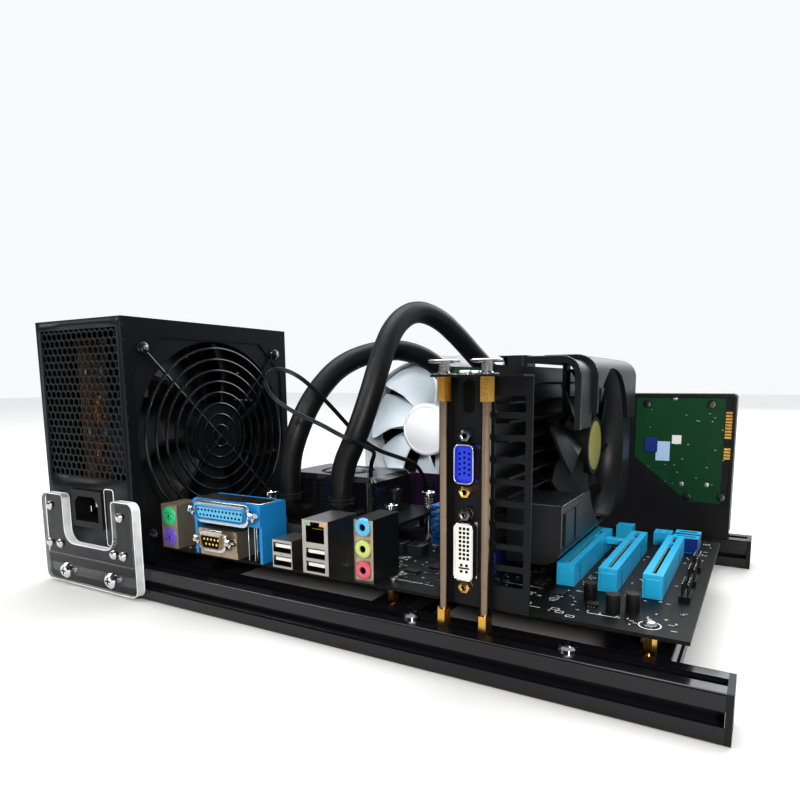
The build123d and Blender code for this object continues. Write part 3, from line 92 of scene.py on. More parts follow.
def join(shells: list[Shell]) -> Shell:
    """Many surfaces as one, with each face index raised by the points before it.

    Args:
        shells: Surfaces to join.

    Returns:
        One surface.
    """
    starts = np.cumsum([0] + [len(s.points) for s in shells])
    flats = tuple(tuple(int(i + n) for i in face) for s, n in zip(shells, starts) for face in s.flats)
    quads = np.concatenate([s.quads + n for s, n in zip(shells, starts)])
    return Shell(np.concatenate([s.points for s in shells]), quads, flats)


def repeat(shell: Shell, offsets: Array | list[Point]) -> Shell:
    """Copies of one surface at many offsets: every point plus every offset, by broadcasting.

    Args:
        shell: Surface to copy.
        offsets: Shifts, one row each.

    Returns:
        One surface of all the copies.
    """
    offsets = np.asarray(offsets, float).reshape(-1, 3)
    count, size = len(offsets), len(shell.points)
    points = (shell.points[None] + offsets[:, None]).reshape(-1, 3)
    step = (np.arange(count) * size)[:, None, None]
    flats = tuple(tuple(i + k * size for i in face) for k in range(count) for face in shell.flats)
    return Shell(points, (shell.quads[None] + step).reshape(-1, 4), flats)


def spun(shell: Shell, count: int) -> Shell:
    """Copies of a surface turned in equal steps about Z."""
    angles = np.arange(count) * math.tau / count
    return join([shell.turn([[math.cos(a), math.sin(a), 0], [-math.sin(a), math.cos(a), 0], [0, 0, 1]])
                 for a in angles])


def grid(points: Array, wrap_rows: bool = False, wrap_cols: bool = False) -> Shell:
    """Surface over a rows by columns grid of points, closed on itself where it wraps.

    Args:
        points: Array of rows by columns by 3.
        wrap_rows: Join the last row to the first.
        wrap_cols: Join the last column to the first.

    Returns:
        The surface in quads.
    """
    rows, cols = points.shape[:2]
    index = np.arange(rows * cols).reshape(rows, cols)
    if wrap_rows:
        index = np.vstack([index, index[:1]])
    if wrap_cols:
        index = np.hstack([index, index[:, :1]])
    quads = np.stack([index[:-1, :-1], index[:-1, 1:], index[1:, 1:], index[1:, :-1]], axis=-1)
    return Shell(points.reshape(-1, 3), quads.reshape(-1, 4))


def tube(points: Array) -> Shell:
    """Surface over rings of points, with a flat face on the first and the last ring.

    Args:
        points: Array of rings by points by 3.

    Returns:
        The closed surface.
    """
    (rows, cols), body = points.shape[:2], grid(points, wrap_cols=True)
    body.flats = tuple(range(cols - 1, -1, -1)), tuple(range((rows - 1) * cols, rows * cols))
    return body


def rounded(width: float, height: float, radius: float, steps: int = 4) -> Array:
    """Outline of a rounded rectangle: quarter circles of the radius about the four inset corners.

    Args:
        width: Size along the first axis.
        height: Size along the second axis.
        radius: Corner radius.
        steps: Points on each corner.

    Returns:
        Points in order, counter-clockwise.
    """
    angles = np.radians(np.arange(4)[:, None] * 90.0 + np.linspace(0, 90, steps))
    signs = np.array([[1, 1], [-1, 1], [-1, -1], [1, -1]], float)
    middle = signs * [width / 2 - radius, height / 2 - radius]
    arcs = radius * np.stack([np.cos(angles), np.sin(angles)], axis=-1)
    return (middle[:, None] + arcs).reshape(-1, 2)


def circle(radius: float, steps: int = 20) -> Array:
    """Outline of a circle, equal steps of angle."""
    angles = np.arange(steps) * math.tau / steps
    return radius * np.stack([np.cos(angles), np.sin(angles)], axis=-1)


def dee_outline(width: float, height: float) -> Array:
    """D-shaped outline: a rounded rectangle whose sides lean in towards the bottom in step with height.

    Args:
        width: Size along the first axis.
        height: Size along the second axis.

    Returns:
        Points in order.
    """
    flat = rounded(width, height, 1.8, 5)
    lean = 1 - 0.34 * (height / width) * (0.5 - flat[:, 1] / height)
    return np.stack([flat[:, 0] * lean, flat[:, 1]], axis=-1)


def layered(outline: Array, layers: list[tuple[float, float]]) -> Shell:
    """Outline carried up Z through layers, scaled about its middle by each layer's inset, with flat ends.

    Args:
        outline: Points of the outline.
        layers: Pairs of height and inset.

    Returns:
        The closed surface.
    """
    heights, insets = np.array(layers, float).T
    scale = np.maximum(1 - insets[:, None] / np.abs(outline).max(0), 0.02)
    flat = outline[None] * scale[:, None]
    rise = np.broadcast_to(heights[:, None, None], (*flat.shape[:2], 1))
    return tube(np.concatenate([flat, rise], axis=-1))


def block(low: Point, high: Point, edge: float = 0.3, corner: float | None = None) -> Shell:
    """Box with softened edges: a rounded outline through four layers, drawn in at the first and last.

    Args:
        low: Lowest corner.
        high: Highest corner.
        edge: Size of the softened edge.
        corner: Radius of the upright corners, or None for the edge size.

    Returns:
        The closed surface.
    """
    low, high = np.asarray(low, float), np.asarray(high, float)
    size = high - low
    radius = min(edge if corner is None else corner, size[:2].min() * 0.45)
    edge = min(edge, size.min() * 0.45)
    outline = rounded(size[0], size[1], radius, 2 if radius <= 0.5 else 5)
    middle = (low + high) / 2
    layers = [(0, edge), (edge, 0), (size[2] - edge, 0), (size[2], edge)]
    return layered(outline, layers).moved((middle[0], middle[1], low[2]))


def turned(profile: list[tuple[float, float]], steps: int = 24) -> Shell:
    """Surface of revolution about Z: radius and height of the profile against angle.

    Args:
        profile: Pairs of radius and height; a radius of 0 closes the pole.
        steps: Steps of angle.

    Returns:
        The surface.
    """
    radius, height = np.array(profile, float).T[:, :, None]
    flat = radius[..., None] * circle(1.0, steps)
    return grid(np.dstack([flat, np.broadcast_to(height, flat.shape[:2])]), wrap_cols=True)


def swept(path: Array, outline: Array, closed: bool = False, guide: Point = (0, 0, 1)) -> Shell:
    """Outline carried along a path: each point takes the path's normal and binormal at that step.

    Args:
        path: Points of the path.
        outline: Outline in the plane across the path.
        closed: The path returns to its start.
        guide: Direction that the outline's second axis leans to.

    Returns:
        The surface, with flat ends on an open path.
    """
    ahead = np.roll(path, -1, 0) - np.roll(path, 1, 0) if closed else np.gradient(path, axis=0)
    ahead /= np.linalg.norm(ahead, axis=1, keepdims=True)
    side = np.cross(guide, ahead)
    side /= np.maximum(np.linalg.norm(side, axis=1, keepdims=True), 1e-9)
    up = np.cross(ahead, side)
    points = path[:, None] + side[:, None] * outline[None, :, :1] + up[:, None] * outline[None, :, 1:]
    return grid(points, wrap_rows=True, wrap_cols=True) if closed else tube(points)


def loop(path: Array, outline: Array) -> Shell:
    """Outline carried round a closed flat path in the plane z = 0."""
    return swept(np.c_[path, np.zeros(len(path))], outline, closed=True)


def spiral(radius: float, bottom: float, top: float, turns: float, steps: int) -> Array:
    """Helix about Z: angle and height both rise evenly with the step.

    Args:
        radius: Radius of the helix.
        bottom: Height of its start.
        top: Height of its end.
        turns: Number of turns.
        steps: Number of points.

    Returns:
        Points in order.
    """
    share = np.linspace(0, 1, steps)
    angle = share * turns * math.tau
    height = bottom + share * (top - bottom)
    return np.stack([radius * np.cos(angle), radius * np.sin(angle), height], axis=-1)


def discs(spots: Array, radius: float, depth: float, steps: int) -> Shell:
    """Short round studs at many spots, all facing the front."""
    return repeat(layered(circle(radius, steps), [(-depth, 0), (0, 0)]).face(Way.FRONT), spots)


def windowed(width: Point, height: Point, windows: list[Point]) -> Shell:
    """Flat sheet with rectangular windows: a grid on every window edge, less the cells inside a window.

    Args:
        width: First and last place along the first axis.
        height: First and last place along the second axis.
        windows: Left, right, bottom and top of each window.

    Returns:
        The sheet in the plane z = 0.
    """
    holes = np.array(windows, float)
    across, along = np.unique([*width, *holes[:, :2].ravel()]), np.unique([*height, *holes[:, 2:].ravel()])
    sheet = grid(np.stack(np.broadcast_arrays(across[None], along[:, None], 0.0), axis=-1))
    x, y = sheet.points[sheet.quads].mean(1)[:, :2].T[:, :, None]
    left, right, bottom, top = holes.T
    cut = (x > left) & (x < right) & (y > bottom) & (y < top)
    return Shell(sheet.points, sheet.quads[~cut.any(1)])


def honeycomb(width: Point, height: Point, pitch: float, hole: float) -> Shell:
    """Sheet of six-sided cells, each a ring of six quads between its border and its hole.

    Args:
        width: First and last place along the first axis.
        height: First and last place along the second axis.
        pitch: Distance between cell middles.
        hole: Distance across the flats of a hole.

    Returns:
        The sheet in the plane z = 0.
    """
    rise = pitch * math.sqrt(3) / 2
    cols, rows = int((width[1] - width[0]) / pitch) + 2, int((height[1] - height[0]) / rise) + 2
    row, col = np.meshgrid(np.arange(rows), np.arange(cols), indexing="ij")
    x, y = width[0] + pitch * (col + 0.5 * (row % 2)), height[0] + rise * row
    angles = (np.arange(6) + 0.5) * math.pi / 3
    ring = np.stack([np.cos(angles), np.sin(angles), np.zeros(6)], axis=-1) / math.sqrt(3)
    turn = np.arange(6)
    quads = np.stack([turn, (turn + 1) % 6, (turn + 1) % 6 + 6, turn + 6], axis=-1)
    cell = Shell(np.concatenate([ring * pitch, ring * hole]), quads)
    return repeat(cell, np.stack([x, y, np.zeros(x.shape)], axis=-1))


def blade(root: float, tip: float, spread: Point, rise: Point, sweep: float, camber: float) -> Shell:
    """Fan blade as radius against chord.

    Its angle is sweep times span plus chord times spread. Its height is chord times rise plus the bow of
    the camber.

    Args:
        root: Radius at the hub.
        tip: Radius at the tip.
        spread: Angle covered at the hub and at the tip, in degrees.
        rise: Height covered at the hub and at the tip, in millimetres.
        sweep: Angle by which the tip runs ahead, in degrees.
        camber: Height of the bow across the chord.

    Returns:
        The blade's middle surface.
    """
    out, chord = np.meshgrid(np.linspace(0, 1, 16), np.linspace(-0.5, 0.5, 13), indexing="ij")
    radius = root + out * (tip - root)
    wide = spread[0] + out * (spread[1] - spread[0])
    trim = 1 - 0.16 * out ** 6 * (chord > 0) * chord * 2
    angle = np.radians(sweep * out ** 1.3 + chord * wide * trim)
    height = chord * (rise[0] + out * (rise[1] - rise[0])) + camber * (1 - 4 * chord ** 2)
    return grid(np.stack([radius * np.cos(angle), radius * np.sin(angle), height], axis=-1))


def linked(name: str, data: bpy.types.ID) -> bpy.types.Object:
    """New object that is linked to the scene.

    Args:
        name: Name of the object.
        data: Its mesh, curve, light or camera.

    Returns:
        The object.
    """
    thing = bpy.data.objects.new(name, data)
    bpy.context.scene.collection.objects.link(thing)
    return thing


def declare(thing: bpy.types.Object, finish: "Finish", body: str = BENCH) -> bpy.types.Object:
    """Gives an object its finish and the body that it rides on.

    Args:
        thing: The object.
        finish: Its finish.
        body: The body that it rides on.

    Returns:
        The same object.
    """
    thing.data.materials.clear()
    thing.data.materials.append(finish.material())
    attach(thing, body)
    return thing


def piece(name: str, shell: Shell, finish: "Finish", body: str = BENCH,
          sharp: float = 35.0) -> bpy.types.Object:
    """Mesh object in the shared frame: doubles merged, faces outwards, finish given, riding on its body.

    Args:
        name: Name of the piece.
        shell: Its surface in millimetres.
        finish: Its finish.
        body: The body that it rides on.
        sharp: Angle in degrees above which an edge stays crisp.

    Returns:
        The object.
    """
    mesh = bpy.data.meshes.new(name)
    mesh.from_pydata((shell.points * MM).tolist(), [], shell.quads.tolist() + [list(f) for f in shell.flats])
    work = bmesh.new()
    work.from_mesh(mesh)
    bmesh.ops.remove_doubles(work, verts=work.verts, dist=WELD)
    bmesh.ops.dissolve_degenerate(work, edges=work.edges, dist=SLIVER)
    bmesh.ops.recalc_face_normals(work, faces=work.faces)
    work.to_mesh(mesh)
    work.free()
    mesh.polygons.foreach_set("use_smooth", np.ones(len(mesh.polygons), bool))
    mesh.set_sharp_from_angle(angle=math.radians(sharp))
    LOG.info("%s: %d faces", name, len(mesh.polygons))
    return declare(linked(name, mesh), finish, body)


def thick(thing: bpy.types.Object, depth: float, edge: float = 0.0) -> bpy.types.Object:
    """Gives a sheet its wall, centred on the sheet, and a small softened edge.

    Args:
        thing: Sheet object.
        depth: Wall in millimetres.
        edge: Bevel in millimetres, or 0 for none.

    Returns:
        The same object.
    """
    wall = thing.modifiers.new("wall", "SOLIDIFY")
    wall.thickness = depth * MM
    wall.offset = 0.0
    if edge:
        soft = thing.modifiers.new("edge", "BEVEL")
        soft.width = edge * MM
        soft.segments = 2
        soft.limit_method = "ANGLE"
    return thing


def span(node: str) -> tuple[Array, Array]:
    """Lowest and highest corner of a node, in millimetres."""
    low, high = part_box(node)
    return np.array(low) / MM, np.array(high) / MM


class Relief(Enum):
    """Kind of fine surface relief: scale of its grain and strength of its bump."""

    MOULDED = (2600.0, 0.10)
    POWDER = (1500.0, 0.16)
    BRUSHED = (900.0, 0.05)
    RUBBER = (1900.0, 0.14)
    POLISHED = (140.0, 0.015)


BUMP_DEPTH = 0.0004
COAT_ROUGH = 0.06
WEB_WIDTH = 0.045
MARKS_SCALE = 2.3
LEAST_ROUGH = 0.03
SOCKETS = {"Vector": "NodeSocketVector", "Color": "NodeSocketColor"}


def feed(tree: bpy.types.NodeTree, node: bpy.types.Node, inputs: dict[str | int, object]) -> None:
    """Links each named input of a node to a socket, or sets it to a value.

    Args:
        tree: Tree that holds the node.
        node: The node.
        inputs: Socket or value for each input.
    """
    for word, value in inputs.items():
        if isinstance(value, bpy.types.NodeSocket):
            tree.links.new(value, node.inputs[word])
        else:
            node.inputs[word].default_value = value


def add(tree: bpy.types.NodeTree, kind: str, inputs: dict[str | int, object],
        **settings: object) -> bpy.types.bpy_prop_collection:
    """New shader node with its settings and inputs.

    Args:
        tree: Tree that takes the node.
        kind: Type of the node, without its prefix.
        inputs: Socket or value for each input.
        settings: Properties of the node.

    Returns:
        The node's output sockets.
    """
    node = tree.nodes.new("ShaderNode" + kind)
    for word, value in settings.items():
        setattr(node, word, value)
    feed(tree, node, inputs)
    return node.outputs


def calc(group: bpy.types.NodeTree, operation: str, *values: object) -> bpy.types.NodeSocket:
    """Result of a math node whose inputs are sockets or plain numbers."""
    return add(group, "Math", dict(enumerate(values)), operation=operation)[0]


class Effect(Enum):
    """Shared shader effect: the name of its node group, its inputs and its output."""

    TONE = ("tone_drift", ("Vector", "Color", "Amount", "Scale"), "Color")
    MARKS = ("handling", ("Vector", "Roughness", "Amount", "Scale"), "Roughness")
    GRAIN = ("fine_relief", ("Vector", "Scale"), "Height")
    WEB = ("copper_web", ("Vector", "Scale", "Width"), "Mask")

    def fill(self, group: bpy.types.NodeTree, given: bpy.types.bpy_prop_collection) -> bpy.types.NodeSocket:
        """Nodes of the effect.

        Tone is the colour times one plus the amount times noise from -1 to 1. Marks are the roughness plus
        the amount times noise from -0.5 to 0.5. Grain is plain noise. The web is where the nearest two
        cells, measured along the axes, are less than a width apart.

        Args:
            group: Node group to fill.
            given: Sockets of the group's inputs.

        Returns:
            Socket that the group puts out.
        """
        place = {"Vector": given["Vector"], "Scale": given["Scale"]}
        if self is Effect.WEB:
            near, far = (add(group, "TexVoronoi", place, distance="MANHATTAN", feature=feature)["Distance"]
                         for feature in ("F1", "F2"))
            return calc(group, "LESS_THAN", calc(group, "SUBTRACT", far, near), given["Width"])
        detail = {Effect.TONE: 5.0, Effect.MARKS: 8.0, Effect.GRAIN: 3.0}[self]
        noise = add(group, "TexNoise", {**place, "Detail": detail})["Fac"]
        if self is Effect.GRAIN:
            return noise
        swing = calc(group, "SUBTRACT", noise, 0.5)
        if self is Effect.MARKS:
            total = calc(group, "ADD", given["Roughness"], calc(group, "MULTIPLY", swing, given["Amount"]))
            return calc(group, "MAXIMUM", total, LEAST_ROUGH)
        share = calc(group, "MULTIPLY", calc(group, "MULTIPLY", swing, 2.0), given["Amount"])
        factor = calc(group, "ADD", share, 1.0)
        return add(group, "VectorMath", {0: given["Color"], "Scale": factor}, operation="SCALE")[0]

    def group(self) -> bpy.types.NodeTree:
        """The effect's node group, made once.

        Returns:
            The group.
        """
        name, inputs, output = self.value
        known = bpy.data.node_groups.get(name)
        if known:
            return known
        made = bpy.data.node_groups.new(name, "ShaderNodeTree")
        for way, words in (("INPUT", inputs), ("OUTPUT", (output,))):
            for word in words:
                made.interface.new_socket(word, in_out=way, socket_type=SOCKETS.get(word, "NodeSocketFloat"))
        given = made.nodes.new("NodeGroupInput").outputs
        result = made.nodes.new("NodeGroupOutput").inputs
        made.links.new(self.fill(made, given), result[output])
        return made

    def put(self, tree: bpy.types.NodeTree, inputs: dict[str, object]) -> bpy.types.NodeSocket:
        """Output of the effect when it is placed in a material with its inputs."""
        return add(tree, "Group", inputs, node_tree=self.group())[self.value[2]]


@dataclass(frozen=True)
class Finish:
    """One surface finish: its colour, gloss and fine relief."""

    name: str
    color: tuple[float, float, float]
    rough: float
    metal: float = 0.0
    relief: Relief = Relief.MOULDED
    drift: float = 0.18
    drift_scale: float = 90.0
    marks: float = 0.10
    coat: float = 0.0
    stretch: tuple[float, float, float] = (1.0, 1.0, 1.0)
    clear: float = 0.0
    ior: float = 1.5
    web: tuple[float, float, float] | None = None
    web_scale: float = 420.0
    shine: float = 0.5

    def material(self) -> bpy.types.Material:
        """The finish as a node material, made once.

        Returns:
            The material.
        """
        known = bpy.data.materials.get(self.name)
        if known:
            return known
        made = bpy.data.materials.new(self.name)
        made.use_nodes = True
        made.diffuse_color = (*self.color, 1.0)
        tree = made.node_tree
        coords = add(tree, "TexCoord", {})["Object"]
        place = {"Vector": add(tree, "Mapping", {"Vector": coords, "Scale": self.stretch})["Vector"]}
        shade = Effect.TONE.put(tree, {**place, "Color": (*self.color, 1.0), "Amount": self.drift,
                                       "Scale": self.drift_scale})
        if self.web:
            mask = Effect.WEB.put(tree, {**place, "Scale": self.web_scale, "Width": WEB_WIDTH})
            layers = {"Factor": mask, "A": shade, "B": (*self.web, 1.0)}
            shade = add(tree, "Mix", layers, data_type="RGBA")["Result"]
        rough = Effect.MARKS.put(tree, {**place, "Roughness": self.rough, "Amount": self.marks,
                                        "Scale": self.drift_scale * MARKS_SCALE})
        scale, depth = self.relief.value
        height = Effect.GRAIN.put(tree, {**place, "Scale": scale})
        bump = add(tree, "Bump", {"Strength": depth, "Distance": BUMP_DEPTH, "Height": height})["Normal"]
        feed(tree, tree.nodes["Principled BSDF"], {
            "Base Color": shade, "Roughness": rough, "Normal": bump, "Metallic": self.metal,
            "Coat Weight": self.coat, "Coat Roughness": COAT_ROUGH, "Transmission Weight": self.clear,
            "IOR": self.ior, "Specular IOR Level": self.shine})
        return made


ANODISED = Finish("anodised_black_rail", (0.008, 0.008, 0.010), 0.22, 0.0, Relief.BRUSHED, 0.25, 60, 0.12,
                  0.2, (0.08, 1.0, 1.0), shine=0.4)
ANODISED_ACROSS = Finish("anodised_black_cross_rail", (0.008, 0.008, 0.010), 0.26, 0.0, Relief.BRUSHED, 0.25,
                         60, 0.12, 0.2, (1.0, 0.08, 1.0), shine=0.4)
TAN_CHIP = Finish("tan_chip_part", (0.30, 0.20, 0.11), 0.42, drift=0.2, drift_scale=400)
MOULDED_BLACK = Finish("moulded_black", (0.008, 0.008, 0.009), 0.42, drift=0.25, shine=0.3)
SATIN_BLACK = Finish("satin_black_housing", (0.009, 0.009, 0.011), 0.32, relief=Relief.POWDER, shine=0.35)
GLOSS_BLACK = Finish("gloss_black_lid", (0.008, 0.008, 0.010), 0.12, relief=Relief.POLISHED, coat=0.5)
POWDER_BLACK = Finish("powder_black_sheet", (0.0055, 0.006, 0.0075), 0.38, 0.0, Relief.POWDER, 0.2, 45,
                      shine=0.25)
WIRE_BLACK = Finish("gloss_black_wire", (0.006, 0.0065, 0.008), 0.14, relief=Relief.POLISHED, coat=0.3)
PLATED = Finish("plated_steel", (0.62, 0.61, 0.60), 0.20, 1.0, Relief.BRUSHED, 0.12, 220, 0.12)
PORT_TIN = Finish("port_tin", (0.46, 0.43, 0.40), 0.30, 1.0, Relief.BRUSHED, 0.22, 160, 0.18)
TAN_TIN = Finish("tan_tin", (0.42, 0.34, 0.24), 0.38, 0.75, Relief.BRUSHED, 0.22, 160, 0.18)
DARK_TIN = Finish("dark_tin", (0.16, 0.155, 0.15), 0.26, 1.0, Relief.BRUSHED, 0.2, 160)
CHROME = Finish("bright_chrome", (0.78, 0.78, 0.79), 0.10, 1.0, Relief.POLISHED, 0.06, 150, 0.08)
ACRYLIC = Finish("polished_acrylic_sheet", (0.96, 0.98, 0.99), 0.03, relief=Relief.POLISHED, drift=0.01,
                 marks=0.03, clear=1.0, ior=1.49)
# Near-white strips along the clear plate's edges: a painted highlight.
ACRYLIC_EDGE_HIGHLIGHT = Finish("acrylic_edge_painted_highlight", (0.92, 0.94, 0.96), 0.22, relief=Relief.POLISHED, drift=0.3,
                      clear=0.1)
BRASS = Finish("turned_brass", (0.66, 0.40, 0.10), 0.24, 1.0, Relief.BRUSHED, 0.2, 200, 0.15)
GOLD = Finish("gilt_contact", (0.83, 0.55, 0.16), 0.22, 1.0, Relief.POLISHED, 0.12, 300)
COPPER = Finish("copper_winding", (0.72, 0.30, 0.11), 0.28, 0.9, Relief.BRUSHED, 0.25, 300)
# Supply coils drawn far darker than the bright copper finish.
DARK_COPPER = Finish("dark_copper_winding", (0.20, 0.075, 0.025), 0.40, 0.6, Relief.BRUSHED, 0.3, 300)
ALUMINIUM = Finish("brushed_bare_aluminium", (0.56, 0.56, 0.58), 0.32, 1.0, Relief.BRUSHED, 0.15, 140)
BLACK_METAL = Finish("black_painted_fins", (0.009, 0.009, 0.010), 0.40, 0.0, Relief.POWDER, 0.2, 120,
                     shine=0.3)
BOARD_BLACK = Finish("black_solder_mask", (0.006, 0.007, 0.0065), 0.42, relief=Relief.POLISHED, drift=0.3,
                     drift_scale=70, web=(0.011, 0.013, 0.012), shine=0.15)
BOARD_GREEN = Finish("green_solder_mask", (0.007, 0.056, 0.021), 0.40, relief=Relief.POLISHED, drift=0.2,
                     drift_scale=80, web=(0.009, 0.066, 0.025), shine=0.2)
BOARD_PURPLE = Finish("purple_solder_mask", (0.030, 0.008, 0.036), 0.32, relief=Relief.POLISHED, drift=0.25,
                      web=(0.042, 0.014, 0.048), shine=0.3)
BOARD_TAN = Finish("tan_laminate", (0.14, 0.08, 0.028), 0.45, drift=0.3, web=(0.20, 0.12, 0.045),
                   web_scale=260)
SILK = Finish("silkscreen_white", (0.86, 0.87, 0.86), 0.6, drift=0.25, drift_scale=700)
CYAN = Finish("cyan_slot", (0.03, 0.48, 0.78), 0.30, drift=0.10, coat=0.15)
DEEP_CYAN = Finish("deep_cyan_slot", (0.008, 0.16, 0.40), 0.34, drift=0.12)
PORT_BLUE = Finish("port_blue", (0.012, 0.23, 0.52), 0.34, drift=0.12)
ROYAL_BLUE = Finish("royal_blue", (0.010, 0.040, 0.56), 0.34, drift=0.10)
DARK_BLUE = Finish("dark_blue", (0.010, 0.030, 0.20), 0.36, drift=0.15)
ANODISED_BLUE = Finish("anodised_blue", (0.015, 0.24, 0.72), 0.28, 0.55, Relief.BRUSHED, 0.15, 160)
GREEN = Finish("port_green", (0.03, 0.48, 0.20), 0.36, drift=0.10)
VIOLET = Finish("port_violet", (0.16, 0.09, 0.52), 0.36, drift=0.10)
JACK_BLUE = Finish("jack_blue", (0.11, 0.42, 0.66), 0.30, drift=0.08, coat=0.2)
JACK_LIME = Finish("jack_lime", (0.50, 0.58, 0.19), 0.30, drift=0.08, coat=0.2)
JACK_PINK = Finish("jack_pink", (0.60, 0.12, 0.17), 0.30, drift=0.08, coat=0.2)
IVORY = Finish("ivory_plastic", (0.74, 0.73, 0.69), 0.42, drift=0.06)
BLADE_WHITE = Finish("pale_blue_blade", (0.86, 0.94, 1.0), 0.34, drift=0.05, marks=0.06, clear=0.05, ior=1.46)
HUB_WHITE = Finish("white_hub", (0.88, 0.91, 0.94), 0.30, drift=0.04, coat=0.15)
HOSE_RUBBER = Finish("matt_hose_rubber", (0.007, 0.007, 0.008), 0.44, relief=Relief.RUBBER, drift=0.3,
                     drift_scale=70, shine=0.32)
LEAD_SKIN = Finish("lead_skin", (0.006, 0.006, 0.007), 0.34, relief=Relief.RUBBER, drift=0.2, shine=0.3)
DISC_WHITE = Finish("bare_disc", (0.92, 0.93, 0.95), 0.42, drift=0.03)
# Card heatsink fins drawn near-black, far darker than bare aluminium.
DARK_FINS = Finish("near_black_metal_fins", (0.020, 0.020, 0.022), 0.30, 0.5, Relief.BRUSHED, 0.25, 160,
                   shine=0.35)
WARM_ROD = Finish("drawn_steel_rod", (0.24, 0.185, 0.14), 0.20, 1.0, Relief.BRUSHED, 0.15, 150)
SHROUD_GREY = Finish("shroud_grey", (0.012, 0.0125, 0.015), 0.32, relief=Relief.POLISHED, drift=0.2,
                     shine=0.4)
# Lighter copy of the shroud's colour for its edges: a painted highlight.
SHROUD_EDGE_HIGHLIGHT = Finish("shroud_edge_painted_highlight", (0.040, 0.042, 0.048), 0.22, drift=0.2, coat=0.3)
CASTING = Finish("dark_casting", (0.008, 0.008, 0.010), 0.42, relief=Relief.POWDER, drift=0.25, shine=0.3)
FERRITE = Finish("moulded_ferrite", (0.014, 0.015, 0.018), 0.40, relief=Relief.POWDER, shine=0.3)
CHIP_BLACK = Finish("chip_package", (0.012, 0.012, 0.013), 0.46, drift=0.2, drift_scale=300, shine=0.3)
TIN = Finish("solder_tin", (0.60, 0.60, 0.59), 0.32, 1.0, Relief.BRUSHED, 0.2, 500)
LABEL_WHITE = Finish("bare_label", (0.78, 0.79, 0.80), 0.5, drift=0.05)
LABEL_BLUE = Finish("bare_pale_blue_label", (0.42, 0.60, 0.82), 0.5, drift=0.08)
STRIP_GREEN = Finish("yellow_green_disc", (0.26, 0.24, 0.06), 0.45, drift=0.15)
# Near-black for holes, sockets, gaps and recesses: painted shade where shade falls inside them.
HOLE_SHADE = Finish("painted_hole_shade", (0.003, 0.003, 0.003), 0.6, shine=0.1)
SPARK_GREEN = Finish("green_lamp", (0.10, 0.50, 0.16), 0.25, coat=0.4)
SPARK_AMBER = Finish("amber_lamp", (0.75, 0.33, 0.04), 0.25, coat=0.4)
PALE_FLOOR = Finish("pale_floor", (0.72, 0.72, 0.71), 0.6, drift=0.02, drift_scale=3, shine=0.2)


class Assembly:
    """Sub-assembly of the bench; FINISHES names the finish of each node that it keeps from the frame."""

    FINISHES: ClassVar[dict[str, Finish]] = {}

    def dress(self) -> None:
        """Gives each kept node its finish."""
        for node, finish in self.FINISHES.items():
            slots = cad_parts[node].data.materials
            slots.clear()
            slots.append(finish.material())

    def build(self) -> None:
        """Makes the pieces of the sub-assembly."""
        raise NotImplementedError


@dataclass
class RailFrame(Assembly):
    """Slotted rails, cross rails, end caps and the two button-head screws."""

    FINISHES: ClassVar[dict[str, Finish]] = {
        "rail_front": ANODISED, "rail_rear": ANODISED, "cross_rails": ANODISED_ACROSS,
        "end_caps": MOULDED_BLACK, "rail_screws": CHROME}
    rail: float = 20.0
    head: float = 5.0
    socket: float = 1.5
    cap_highlight_inset: float = 0.4
    cap_highlight: float = 0.16
    proud: float = 0.02

    def build(self) -> None:
        """Adds the screw sockets as dark discs of painted shade, and thin bright rings round the end caps'
        edges as a painted highlight.
        """
        low, high = span("rail_screws")
        middle = span("rail_front")[0][1] + self.rail / 2
        # Dark disc in each screw head: painted shade for its socket.
        pit = layered(circle(self.socket, 6), [(-0.5, 0), (0.04, 0)])
        spots = [(x, middle, high[2]) for x in (low[0] + self.head, high[0] - self.head)]
        piece("screw_sockets", repeat(pit, spots), HOLE_SHADE)
        # Bright plated ring round each end cap's edge: a painted highlight where light catches the cap.
        side = self.rail - self.cap_highlight_inset
        cap_highlight = loop(rounded(side, side, 1.0), circle(self.cap_highlight, 6)).face(Way.RIGHT)
        rails = span("rail_front"), span("rail_rear")
        ends = [(x, (low[1] + high[1]) / 2, self.rail / 2) for low, high in rails
                for x in (low[0] - self.proud, high[0] + self.proud)]
        piece("end_cap_highlights", repeat(cap_highlight, ends), PLATED)


